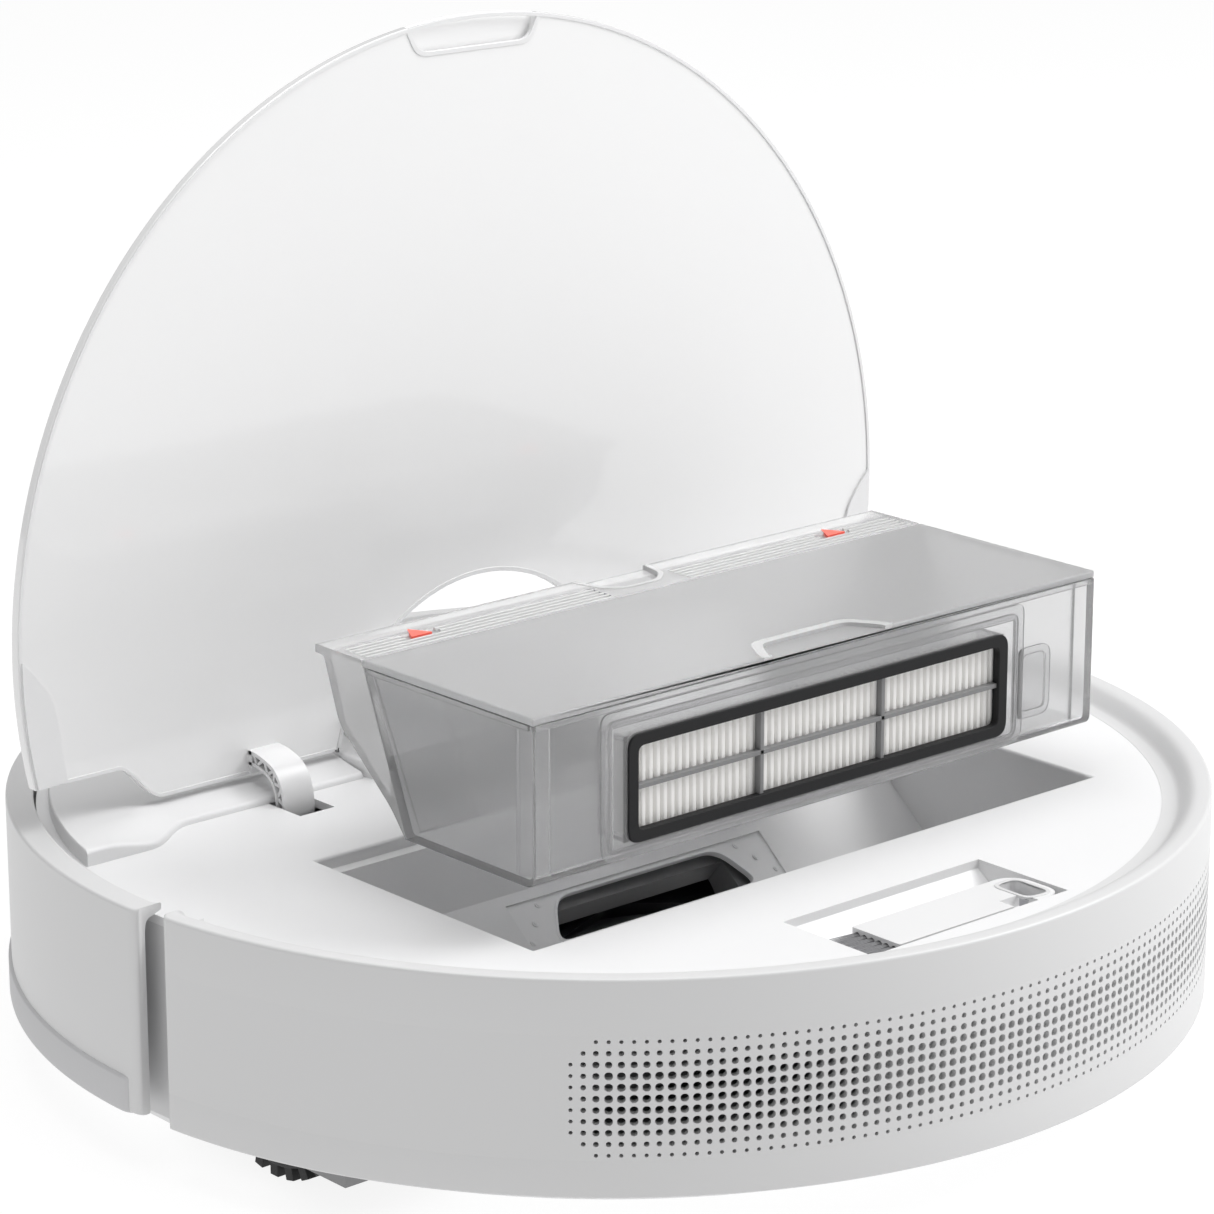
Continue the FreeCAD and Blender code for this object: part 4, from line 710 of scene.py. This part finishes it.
rim = lid_outline(0.15)
piece("lid_bead", *bead(on_lid(rim), on_lid(lid_outline(1.25, 55.3)), LID_IN - 0.35, LID_IN + 0.2),
      "lid", WHITE_EDGE, slot="white_gloss", bevel=0.12)
turn = np.radians(np.linspace(-12.6, 0.7, 30))
ear = np.concatenate([np.column_stack([(LID_R - 0.9) * np.cos(turn), (LID_R - 0.9) * np.sin(turn)]),
                      [(157.6, -2.2), (152.6, -8.5), (150.6, -16), (148.0, -34.6)]])
ears = [prism(on_lid(eased(ear * (side, 1), [0.3] * 30 + [4, 4, 5, 0.8], 4)),
              LID_IN - 0.85, LID_IN + 0.3, "y") for side in (-1, 1)]
piece("lid_ear_pads", *joined(*ears), "lid", WHITE_EDGE, ["lid_pads"], "white_satin", bevel=0.3)
cup_outer = on_lid(symmetric([(-24.99, 159.66), (-21.3, 152.0)], [0, 4]))
cup_inner = on_lid(symmetric([(-23.41, 159.9), (-20.2, 153.3)], [0, 3.6]))
piece("lid_pocket_wall", *bead(cup_outer, cup_inner, LID_IN - 0.3, LID_IN + 1.0, closed=False),
      "lid", WHITE_EDGE, slot="white_gloss", bevel=0.15)
print("lid trims made")

# %% [markdown]
# ## Hinge arms
# Each arm wraps round the hinge like a goose's neck, so that the lid clears the cover as
# it swings. Its sides are hollowed and stiffened with zigzag ribs, as moulded arms are.
# The neck is a smooth line in (y, z); its inner face is the same line shifted sideways,
# and the ribs zigzag between the two.

# %% Hinge arms
HINGE_Y, HINGE_Z = LID_IN - 3.3, LID_Z - 54.5
arm_low, arm_high = corners("lid_arm_right")
neck = np.array([(3.8, 15.2), (-1.5, 14.8), (-8.5, 12.2), (-12.4, 6.5), (-13.2, -1.5), (-10.5, -4.4)])
neck = neck + (HINGE_Y, HINGE_Z)
NECK_DEEP = 4.2


def smooth_line(points, count):
    """Points along a curve that passes through the given ones (Catmull-Rom), evenly many per gap."""
    given = np.vstack([2 * points[0] - points[1], points, 2 * points[-1] - points[-2]])
    place = np.linspace(0, len(points) - 1.0001, count)
    part = place.astype(int)
    t = (place - part)[:, None]
    p0, p1, p2, p3 = (given[part + k] for k in range(4))
    return 0.5 * (2 * p1 + (p2 - p0) * t + (2 * p0 - 5 * p1 + 4 * p2 - p3) * t ** 2
                  + (3 * p1 - p0 - 3 * p2 + p3) * t ** 3)


def shifted(line, distance):
    """The line moved sideways along its own normal: (y, z) + d n."""
    along = np.gradient(line, axis=0)
    along /= np.linalg.norm(along, axis=1, keepdims=True)
    return line + distance * np.column_stack([-along[:, 1], along[:, 0]])


def strap(outer, inner, low, high):
    """The room between two lines, given thickness along x."""
    return prism(np.concatenate([outer, inner[::-1]]), low, high, "x")


outer_line = smooth_line(neck, 49)
inner_line = shifted(outer_line, NECK_DEEP)
knots = np.linspace(1, 46, 13).astype(int)
zigzag = np.where((np.arange(13) % 2)[:, None], shifted(outer_line, 0.65)[knots],
                  shifted(outer_line, NECK_DEEP - 0.55)[knots])
for name, side in (("lid_arm_left", -1), ("lid_arm_right", 1)):
    low, high = sorted((side * (arm_low[0] - 0.3), side * (arm_high[0] + 0.3)))
    skin = strap(outer_line, shifted(outer_line, 1.1), low, high)
    lining = strap(shifted(outer_line, NECK_DEEP - 0.9), inner_line, low, high)
    web = strap(shifted(outer_line, 0.5), shifted(outer_line, NECK_DEEP - 0.4), low + 3.5, high - 3.5)
    ribs = [prism(np.array([p + n, q + n, q - n, p - n]), low + 0.4, high - 0.4, "x")
            for p, q in zip(zigzag[:-1], zigzag[1:])
            for n in [0.45 * np.array([-(q - p)[1], (q - p)[0]]) / np.linalg.norm(q - p)]]
    toe = strap(outer_line[-3:], inner_line[-3:], low, high)
    heel = eased(block(LID_IN - 1.4, LID_IN + 0.6, HINGE_Z + 8.5, HINGE_Z + 15.3), 0.3, 3)
    heel = prism(heel, low, high, "x")
    eye = turned([(2.06, -4.6), (4.4, -4.6), (4.4, 4.6), (2.06, 4.6)], count=32)
    hub = np.column_stack([eye[0][:, 2] + (low + high) / 2, eye[0][:, 0] + HINGE_Y, eye[0][:, 1] + HINGE_Z])
    spoke = prism(block(HINGE_Y - 12, HINGE_Y - 3.8, HINGE_Z - 2.6, HINGE_Z + 0.6), low + 1, high - 1, "x")
    piece(name + "_skin", *joined(skin, lining, web, *ribs, toe, heel, (hub, eye[1]), spoke), "lid",
          WHITE_EDGE, [name], "white_satin", bevel=0.18)
print("hinge axis", round(HINGE_Y, 2), round(HINGE_Z, 2))

# %% [markdown]
# ## Bin
# The tub is a thin clear wall. A solid block with a see-through material would bend
# light like a lens, so the hollow is really cut: a section in (y, z) is given thickness
# along x, and a slightly smaller one is taken out of it. Heights are measured down from
# the bin's top face, so the same numbers hold for the lifted and the seated bin.

# %% Bin tub
def bin_point(points):
    """(y, depth below the bin's top) to (y, z)."""
    return np.asarray(points, float) * (1, -1) + (0, BIN_TOP)


SEAM_Y, BIN_DEEP = corners("bin_body")[1][1], BIN_TOP - bin_low[2]
TUB_TOP = 2.25
tub = eased(bin_point([(BIN_BACK, BIN_DEEP), (BIN_BACK, TUB_TOP), (SEAM_Y, TUB_TOP), (-37.9, BIN_DEEP)]),
            [3.2, 0.3, 0.4, 0.4], 6)
tub_room = bin_point([(BIN_BACK + 1.7, BIN_DEEP - 1.7), (BIN_BACK + 1.7, -2), (SEAM_Y - 1.7, -2),
                      (SEAM_Y - 1.7, TUB_TOP), (-37.9 - 1.9, BIN_DEEP - 1.7)])
tub_room = eased(tub_room, [2, 0.1, 0.1, 1, 1], 5)
bin_tub = piece("bin_body_skin", *prism(tub, -BIN_HALF + 0.1, BIN_HALF - 0.1, "x"), "bin", SMOKE,
                ["bin_body"], "clear_smoke", bevel=0.9, steps=3)
frame_low, frame_high = corners("filter_frame")
hole_for_filter = prism(block(frame_low[0] + 2, frame_high[0] - 15, frame_low[2] + 1.5, frame_high[2] - 2),
                        BIN_BACK - 2, BIN_BACK + 3, "y")
mouth = [(SEAM_Y + 8, 16), (SEAM_Y - 8, 16), (SEAM_Y - 24, 41), (SEAM_Y - 2, 41)]
carve(bin_tub, prism(tub_room, -BIN_HALF + 1.9, BIN_HALF - 1.9, "x"), hole_for_filter,
      prism(bin_point(mouth), -33, 33, "x"))
print("tub faces", len(bin_tub.data.polygons))

# %% [markdown]
# A thin flange runs round the tub under its lid,
# and slim corner posts catch the light. They are what makes a clear box readable.

# %% Bin flange, seat frame and corner ribs
low_x, high_x = frame_low[0], frame_high[0] - 13.5
outer = eased(block(low_x - 2.2, high_x + 2.2, frame_low[2] - 1.6, frame_high[2] + 2.4), [5, 5, 3, 3], 6)
inner = eased(block(low_x + 1.2, high_x - 1.2, frame_low[2] + 1.5, frame_high[2] - 1.4), [3, 3, 2, 2], 6)
seat = bead(outer, inner, BIN_BACK + 0.02, BIN_BACK + 1.0)
rear_bar = bin_point(block(BIN_BACK + 0.05, BIN_BACK + 1.3, TUB_TOP + 1.6, TUB_TOP))
side_bar = bin_point(block(BIN_BACK + 2, SEAM_Y - 1, TUB_TOP + 1.5, TUB_TOP))
web = np.array([(SEAM_Y - 2.2 - 0.47 * (depth - 3), depth) for depth in (4, 43)])
web = bin_point(np.concatenate([web, web[::-1] - (1, 0)]))
flange, posts, webs = [prism(rear_bar, -BIN_HALF + 1, BIN_HALF - 1, "x")], [], []
for side in (-1, 1):
    flange.append(prism(side_bar, *sorted((side * (BIN_HALF - 0.02), side * (BIN_HALF - 1.2))), "x"))
    inner_x, outer_x = side * (BIN_HALF - 7), side * (BIN_HALF - 1.6)
    post = np.array([(inner_x, 1.6), (inner_x, 2.8), (outer_x, 8), (outer_x, 6.6)]) + (0, BIN_BACK)
    posts.append(prism(eased(post, 0.3, 3), BIN_TOP - BIN_DEEP + 1.7, BIN_TOP - TUB_TOP - 2))
    webs.append(prism(web, *sorted((side * (BIN_HALF - 2), side * (BIN_HALF - 22))), "x"))
piece("bin_ribs", *joined(seat, *flange, *posts, *webs), "bin", CLEAR, slot="clear_smoke", bevel=0.2)
print("bin ribs made")

# %% [markdown]
# ## Bin lid and front strip
# The hinged panel has a shallow finger recess with a clear raised border. Ahead of it
# the fixed strip has fine ribs along x, a notch in the middle and two pointers. The
# strip's ends hang down to form the slanting nose of the bin.

# %% Bin lid panel
SEAM_TOP = SEAM_Y + 0.9
panel_sheet = block(-BIN_HALF, BIN_HALF, BIN_BACK, SEAM_TOP - 0.35)
panel = piece("bin_lid_skin", *prism(panel_sheet, BIN_TOP - 2.15, BIN_TOP), "bin_cover", SMOKE_TOP,
              ["bin_lid"], "clear_smoke", bevel=0.55, steps=3)
grip, grip_in, grip_out = (
    symmetric([(x, BIN_BACK + y) for x, y in half], radii) for half, radii in (
        ([(-24, -3), (-24, 2), (-17.5, 12.6)], [0.1, 2, 3.5]),
        ([(-21.4, 0.2), (-21.4, 1.7), (-15.8, 10.3)], [0.1, 2, 3]),
        ([(-24.4, 0.2), (-24.4, 2.1), (-17.8, 13.1)], [0.1, 2, 3.5])))
carve(panel, prism(grip, BIN_TOP - 1.1, BIN_TOP + 1))
piece("bin_grip_rim", *prism(np.concatenate([grip_out, grip_in[::-1]]), BIN_TOP - 1.3, BIN_TOP - 0.02),
      "bin_cover", RIB_CLEAR, slot="clear_smoke", bevel=0.3)
print("bin panel faces", len(panel.data.polygons))

# %% [markdown]
# The front strip is one moulding with the slanting nose. It is hollowed like the tub, its
# ribs stand in two sunk fields, and a raised line runs round the notch.

# %% Front strip
nose = bin_point([(0, 0.1), (0, 2.4), (-3.6, 2.6), (-10, 20.5), (-31.5, 38.5), (-37.6, BIN_DEEP),
                  (-38.0, BIN_DEEP), (SEAM_Y + 0.15, TUB_TOP), (SEAM_Y + 1.15, 0.1)])
nose = eased(nose, [0.4, 0.3, 1, 3, 3, 0.1, 0.1, 0.3, 0.3], 5)
strip = piece("bin_strip_skin", *prism(nose, -BIN_HALF + 0.05, BIN_HALF - 0.05, "x"), "bin", STRIP_CLEAR,
              ["bin_strip"], "clear_smoke", bevel=0.5)
nose_room = bin_point([(-5.5, 1.6), (-11.6, 19.8), (-30.8, 36.0), (SEAM_Y - 8.5, 22), (SEAM_Y - 0.6, 1.6)])
nose_room = eased(nose_room, [0.5, 2, 2, 2, 0.5], 4)
notch = symmetric([(-13, 2), (-13, -0.5), (-11.2, -9), (-6, -13.6)], [0.1, 0.5, 2.5, 2.5], 5)
carve(strip, prism(nose_room, -BIN_HALF + 1.8, BIN_HALF - 1.8, "x"), prism(notch, BIN_TOP - 1.5, BIN_TOP + 2),
      prism(bin_point([(-5, 17), (-20, 17), (-48, 44), (-22, 44)]), -33, 33, "x"),
      prism(block(-BIN_HALF + 2.5, -14.6, -19.4, -8.7), BIN_TOP - 0.95, BIN_TOP + 1),
      prism(block(14.6, BIN_HALF - 2.5, -19.4, -8.7), BIN_TOP - 0.95, BIN_TOP + 1))
RIB_END, RIB_START, MARK_X = BIN_HALF - 2.4, 14.5, 78.5
ribs = []
for y in (-9.7, -11.9, -14.1, -16.3, -18.5):
    rib = eased(bin_point(block(y - 0.5, y + 0.5, 1.0, 0.05)), [0.1, 0.1, 0.3, 0.3], 3)
    spans = [(-RIB_END, -RIB_START), (RIB_START, RIB_END)]
    if y > -13.5:
        spans = [(-RIB_END, -84), (-72, -RIB_START), (RIB_START, 72), (84, RIB_END)]
    ribs += [prism(rib, first, last, "x") for first, last in spans]
collar_out, collar_in = (symmetric(half, [0.2, 2.5, 2.5], 5) for half in (
    [(-14.4, -0.6), (-12.6, -9.8), (-6.6, -14.9)], [(-13.0, -0.6), (-11.3, -9), (-6, -13.6)]))
ribs.append(prism(np.concatenate([collar_out, collar_in[::-1]]), BIN_TOP - 1.2, BIN_TOP))
piece("bin_strip_ribs", *joined(*ribs), "bin", RIB_CLEAR, slot="clear_smoke", bevel=0.1, steps=1)
pointer = np.array([(MARK_X - 3.7, -12.5), (MARK_X + 3.7, -12.5), (MARK_X, -5.9)])
marks = [prism(eased(pointer * (side, 1), 0.5, 4), BIN_TOP - 0.96, BIN_TOP) for side in (-1, 1)]
piece("bin_marks_skin", *joined(*marks), "bin", RED_MARK, ["bin_marks"], "red_mark")
print("strip faces", len(strip.data.polygons))

# %% [markdown]
# ## Filter
# A clear cassette holds the paper. The black rim is an eased ring; the six windows show
# pleats. The pleats are one folded sheet: depth is y = y0 + A max(0, |2 frac(n x) - 1| - c),
# so that broad crests stand next to narrow gaps, as the pressed paper's folds do.

# %% Filter cassette
seal_low, seal_high = corners("filter_seal")
rear = BIN_BACK


def seal_box(side, end):
    """The seal's rectangle in (x, z), drawn in by `side` along x and by `end` along z."""
    return block(seal_low[0] + side, seal_high[0] - side, seal_low[2] + end, seal_high[2] - end)


outline = eased(block(frame_low[0], frame_high[0] - 13.5, frame_low[2], frame_high[2]), [4, 4, 3, 3], 6)
cassette = piece("filter_frame_skin", *prism(outline, rear + 0.1, rear + 2.0, "y"), "filter", CLEAR,
                 ["filter_frame"], "clear_smoke", bevel=0.4)
carve(cassette, prism(eased(seal_box(0.4, 0.4), 3, 5), rear - 1, rear + 3, "y"))
ring_out, ring_in = eased(seal_box(0, 0), 4.2, 7), eased(seal_box(3.6, 3.4), 2.2, 7)
piece("filter_seal_skin", *bead(ring_out, ring_in, seal_low[1], rear + 2.2), "filter", SEAL_RUBBER,
      ["filter_seal"], "black_rubber", bevel=0.35, steps=3)
win_x = np.linspace(seal_low[0] + 3, seal_high[0] - 3, 4)
win_z = (seal_low[2] + seal_high[2]) / 2
BAR_GREY = moulded_material("bar_grey", (0.30, 0.30, 0.305), 0.3, mottle=0.04,
                            Transmission_Weight=0.3, IOR=1.4)
BAR = 1.3 / 2
bars = [block(x - BAR, x + BAR, seal_low[2] + 2, seal_high[2] - 2) for x in win_x[1:3]]
bars.append(block(seal_low[0] + 2, seal_high[0] - 2, win_z - BAR, win_z + BAR))
bars = [prism(bar, rear + 0.5, rear + 2.8, "y") for bar in bars]
piece("filter_bars", *joined(*bars), "filter", BAR_GREY, slot="clear_smoke", bevel=0.15)
tab_x, foot_z, head_z = frame_high[0], frame_low[2], frame_high[2]
tab = eased(block(tab_x - 13.2, tab_x - 0.2, foot_z + 5, head_z - 11), [2, 4, 4, 2])
tab_in = eased(block(tab_x - 11.6, tab_x - 2.4, foot_z + 7.2, head_z - 13.2), 2)
tab_plate = prism(tab_in, rear + 0.3, rear + 0.9, "y")
piece("filter_tab", *joined(bead(tab, tab_in, rear - 0.25, rear + 1.0), tab_plate), "filter", CLEAR,
      slot="clear_smoke", bevel=0.25)
print("cassette", frame_low.round(1), frame_high.round(1))

# %% [markdown]
# The folded sheet is 54 pleats of ten steps each. Its line is closed with a copy set back
# by the paper's thickness, then drawn up from the foot to the head of the cassette.

# %% Pleated paper
media_low, media_high = corners("filter_media")
folds = 54
edge = np.linspace(0, 1, folds * 10 + 1)
wave = np.clip((np.abs(2 * np.mod(edge * folds, 1) - 1) - 0.58) / 0.42, 0, 1)
across = media_low[0] + (media_high[0] - media_low[0]) * edge
near = rear + 2.4 + 4.5 * wave
line = np.concatenate([np.column_stack([across, near]), np.column_stack([across, near + 0.8])[::-1]])
piece("filter_media_skin", *prism(line, media_low[2], media_high[2]), "filter", PAPER, ["filter_media"],
      "paper", smooth=60)
near_low, near_high, far_low, far_high = media_low - 0.4, media_high + 0.4, media_low - 1.6, media_high + 1.6
sleeve = [prism(block(x0, x1, rear + 2, rear + 11.5), z0, z1) for x0, x1, z0, z1 in (
    (far_low[0], far_high[0], far_low[2], near_low[2]), (far_low[0], far_high[0], near_high[2], far_high[2]),
    (far_low[0], near_low[0], far_low[2], far_high[2]), (near_high[0], far_high[0], far_low[2], far_high[2]))]
piece("filter_sleeve", *joined(*sleeve), "filter", CLEAR, slot="clear_smoke", bevel=0.15)
print("pleats", folds)

# %% [markdown]
# ## Bay, inlet plate and brush
# The bay is an open box of thin grey walls. The inlet plate slants in its front wall: a
# trapezoid with a rounded slot, a soft border, and studs along both ends and its foot.
# Points on the slope are (x, u) with u measured up the slope.

# %% Inlet plate
SLOPE = math.radians(39.9)
plate_low, plate_high = corners("inlet_plate")
plate_mid = (plate_low + plate_high) / 2


def slanted(outline, low, high):
    """Outline (x, u) given thickness along the slope's normal; u runs up the slope."""
    flat, faces = prism(outline, low, high)
    x, u, n = flat.T
    up, away = (math.cos(SLOPE), math.sin(SLOPE)), (-math.sin(SLOPE), math.cos(SLOPE))
    y, z = ((u * up[k] + n * away[k]) + plate_mid[k + 1] + (0.4, 0.1)[k] for k in (0, 1))
    return np.column_stack([x, y, z]), faces


face_out = eased([(-51, -11.6), (51, -11.6), (49.5, 11.8), (-49.5, 11.8)], [1, 1, 1, 1], 4)
slot_in = eased([(-38.5, -5), (38.5, -5), (31, 8.6), (-31, 8.6)], [4.5, 4.5, 5.5, 5.5], 8)
slot_mid = eased([(-39.6, -5.9), (39.6, -5.9), (31.6, 9.5), (-31.6, 9.5)], [5, 5, 6, 6], 8)
studs = [(side * (38.2 + 4.4 * k), 8 - 5.4 * k) for side in (-1, 1) for k in range(3)]
studs += [(x, -8.4) for x in np.linspace(-42, 42, 12)]
domes = [slanted(circle(place, radius, 12), low, high) for place in studs
         for radius, low, high in ((1.05, 0.1, 0.5), (0.65, 0.5, 0.7))]
ring_points = np.concatenate([slot_mid, slot_in])
ring_count = len(slot_mid)
lip = slanted(ring_points, -1.6, 0.4)[0].reshape(2, 2, ring_count, 3)
plate_base = piece("inlet_plate_skin", *slanted(face_out, -1.3, 0.12), "chassis", PLATE_GREY, ["inlet_plate"],
                   "grey_plastic", bevel=0.25)
slot_cut = eased([(-39, -5.4), (39, -5.4), (31.3, 9), (-31.3, 9)], [4.7, 4.7, 5.8, 5.8])
carve(plate_base, slanted(slot_cut, -4, 4))
piece("inlet_lip", *lofted([lip[0, 0], lip[1, 0], lip[1, 1], lip[0, 1]], closed=True), "chassis",
      PLATE_GREY, slot="grey_plastic", bevel=0.15)
piece("inlet_studs", *joined(*domes), "chassis", PLATE_GREY, slot="grey_plastic", smooth=60)
print("inlet plate at", plate_mid.round(1))

# %% [markdown]
# Under the inlet turns the main brush. Its six rubber fins each follow a slow twist that
# runs the other way on the two halves, so the fins meet in a V that sweeps dirt inwards.

# %% Brush fins
fin_low, fin_high = corners("brush_fins")
AXIS_Y, AXIS_Z = (fin_low[1] + fin_high[1]) / 2, (fin_low[2] + fin_high[2]) / 2
along = np.linspace(fin_low[0] + 1, fin_high[0] - 1, 61)
fins = []
for start in np.radians(np.arange(6) * 60):
    twist = start + np.abs(along) / 82 * math.radians(75)
    rings = []
    for radius, offset in ((9.0, -0.12), (15.9, -0.055), (16.1, 0.055), (9.0, 0.12)):
        rings.append(np.column_stack([along, AXIS_Y + radius * np.cos(twist + offset),
                                      AXIS_Z + radius * np.sin(twist + offset)]))
    fins.append(lofted(np.stack(rings, 1)))
piece("brush_fins_skin", *joined(*fins), "brush_roller", FIN_RUBBER, ["brush_fins"], "black_rubber",
      smooth=30)
print("fins", len(fins), "axis", round(AXIS_Y, 1), round(AXIS_Z, 1))

# %% [markdown]
# ## Cleaning tool
# The tool lies in a tray behind the bay: a bar with a hooked end that guards a blade,
# and six flat tufts of bristle at the other end.

# %% Tool and tray
bar_low, bar_high = corners("tool_handle")
(x0, y0, z0), (x1, y1, z1) = bar_low, bar_high
outline = eased([(x0, y0 + 1), (x1 - 14, y0 + 1), (x1 - 10, y0 + 0.1), (x1 - 3, y0 + 0.1), (x1, y0 + 3),
                 (x1, y1 - 4), (x1 - 4, y1), (x0, y1)], [0.6, 3, 3, 3, 3, 3, 3, 0.6], 6)
tool_bar = piece("tool_handle_skin", *prism(outline, z0, z1), "tool", WHITE_EDGE, ["tool_handle"],
                 "white_satin", bevel=0.45, steps=3)
gap = eased([(x1 - 10.2, y0 + 3.4), (x1 - 2.6, y0 + 2.4), (x1 - 2.6, y1 - 3.4), (x1 - 10.2, y1 - 3.4)],
            [2.5, 3, 3, 3], 7)
mouth = block(x1 - 18, x1 - 9.4, y0 - 2, y0 + 6.4)
tuft_low, tuft_high = corners("tool_bristles")
socket_y, socket_z = tuft_low[1] + 1.25 + np.arange(6) * 2.7, (tuft_low[2] + tuft_high[2]) / 2
sockets = [prism(circle((y, socket_z), 1.12, 16), x0 - 1, x0 + 3.5, "x") for y in socket_y]
carve(tool_bar, prism(gap, z0 - 1, z1 + 1), prism(mouth, z1 - 3.2, z1 + 1), *sockets)
ring_out = eased([(x1 - 11.4, y0 + 2.2), (x1 - 1.4, y0 + 1.2), (x1 - 1.4, y1 - 2.2), (x1 - 11.4, y1 - 2.2)],
                 [3.5, 4, 4, 4], 7)
loop = [np.column_stack([line, np.full(len(line), level)]) for line, level in
        ((ring_out, z1 - 0.5), (ring_out, z1 + 0.3), (gap, z1 + 0.3), (gap, z1 - 0.5))]
piece("tool_loop", *lofted(loop, closed=True), "tool", SHADED_WHITE, slot="white_satin", bevel=0.25)
spread = np.array([(a, b) for a in (-0.78, -0.26, 0.26, 0.78) for b in (-0.5, 0.0, 0.5)])
tufts = []
for step, y in enumerate(socket_y):
    for k, (dy, dz) in enumerate(spread):
        root = circle((y + 0.8 * dy, socket_z + dz), 0.17, 5)
        tip = circle((y + 1.7 * dy, socket_z + 0.2 + 1.5 * dz), 0.12, 5)
        reach_x = tuft_low[0] + 0.7 * math.sin(7.1 * step + 3.7 * k)
        tufts.append(lofted([np.column_stack([np.full(5, x), ring])
                             for x, ring in ((x0 + 2, root), (reach_x, tip))]))
piece("tool_bristles_skin", *joined(*tufts), "tool", BRISTLE, ["tool_bristles"], "nylon", smooth=60)
print("tufts", len(tufts))

# %% [markdown]
# ## Tyres
# Wheel tyres have a block tread. One tread block is a small wedge; the tyre is a turned
# ring with lugs set round it, r = R - depth between the lugs.

# %% Drive tyres
LUGS = 28
BOX_FACES = [[0, 1, 3, 2], [4, 6, 7, 5], [0, 4, 5, 1], [2, 3, 7, 6], [0, 2, 6, 4], [1, 5, 7, 3]]
for name, body in (("drive_tyre_left", "left_wheel"), ("drive_tyre_right", "right_wheel")):
    low, high = corners(name)
    middle, tread = (low + high) / 2, (high[2] - low[2]) / 2
    profile = eased([(25.2, -9.8), (tread - 3.4, -9.9), (tread - 2.8, 0), (tread - 3.4, 9.9), (25.2, 9.8)],
                    [0.4, 1.8, 3, 1.8, 0.4], 5)
    points, faces = turned(profile, count=96)
    ring = np.column_stack([points[:, 2] + middle[0], points[:, 0] + middle[1], points[:, 1] + middle[2]])
    lugs = [(ring, faces)]
    for step in range(2 * LUGS):
        a, span = math.pi * step / LUGS, ((-9.2, -1), (1, 9.2))[step % 2]
        lug = np.array([(x, r, t) for x in span for r in (tread - 4.4, tread - 0.05) for t in (-1.7, 1.7)])
        spot = np.column_stack([middle[0] + lug[:, 0],
                                middle[1] + lug[:, 1] * math.cos(a) - lug[:, 2] * math.sin(a),
                                middle[2] + lug[:, 1] * math.sin(a) + lug[:, 2] * math.cos(a)])
        lugs.append((spot, BOX_FACES))
    piece(name + "_skin", *joined(*lugs), body, BLACK_RUBBER, [name], "black_rubber", bevel=0.2, steps=1)
print("tyre radius", tread)

# %% [markdown]
# ## Underside and inside pieces
# Pieces that stay as the frame made them still get a material, and the ones listed in
# `soft` a softened edge, so that no edge is knife sharp where light falls on it.

# %% Materials for the frame's own solids
plain = {
    "deck": WHITE_DECK, "base_plate": PAN_WHITE, "bin_bay": BAY_GREY, "brush_housing": DUCT_GREY,
    "brush_guard": BAND_GREY, "tool_tray": WHITE_DECK, "tool_blade": STEEL, "exhaust_baffle": WHITE_EDGE,
    "fan_housing": PAN_WHITE, "fan_motor": STEEL, "impeller": WHITE_EDGE, "battery": CELL_WRAP,
    "battery_door": DARK_PLASTIC, "main_board": BOARD, "charging_contacts": BRASS, "pan_screws": STEEL,
    "hinge_pins": STEEL, "lidar_head": DARK_PLASTIC, "lidar_mount": DUCT_GREY, "main_brush": DARK_PLASTIC,
    "side_brush_hub": WHITE_EDGE, "side_bristles": SIDE_BRISTLE, "side_motor": DARK_PLASTIC,
    "caster_fork": DARK_PLASTIC, "caster_wheel": BLACK_RUBBER, "drive_arm_left": DUCT_GREY,
    "drive_arm_right": DUCT_GREY, "drive_hub_left": PLATE_GREY, "drive_hub_right": PLATE_GREY,
    "wheel_housing_left": DUCT_GREY, "wheel_housing_right": DUCT_GREY}
soft = {"deck": 0.3, "bin_bay": 0.35, "tool_tray": 0.5, "base_plate": 0.5, "drive_hub_left": 0.6,
        "drive_hub_right": 0.6, "caster_wheel": 0.8, "brush_guard": 0.4, "side_brush_hub": 0.4,
        "battery_door": 0.3}
for name, material in plain.items():
    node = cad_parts[name]
    node.data.materials.clear()
    node.data.materials.append(material)
    if name in soft:
        edge = node.modifiers.new("edge", "BEVEL")
        edge.width, edge.segments, edge.limit_method = soft[name] * MM, 2, "ANGLE"
        edge.angle_limit = math.radians(40)
print("frame solids dressed", len(plain))
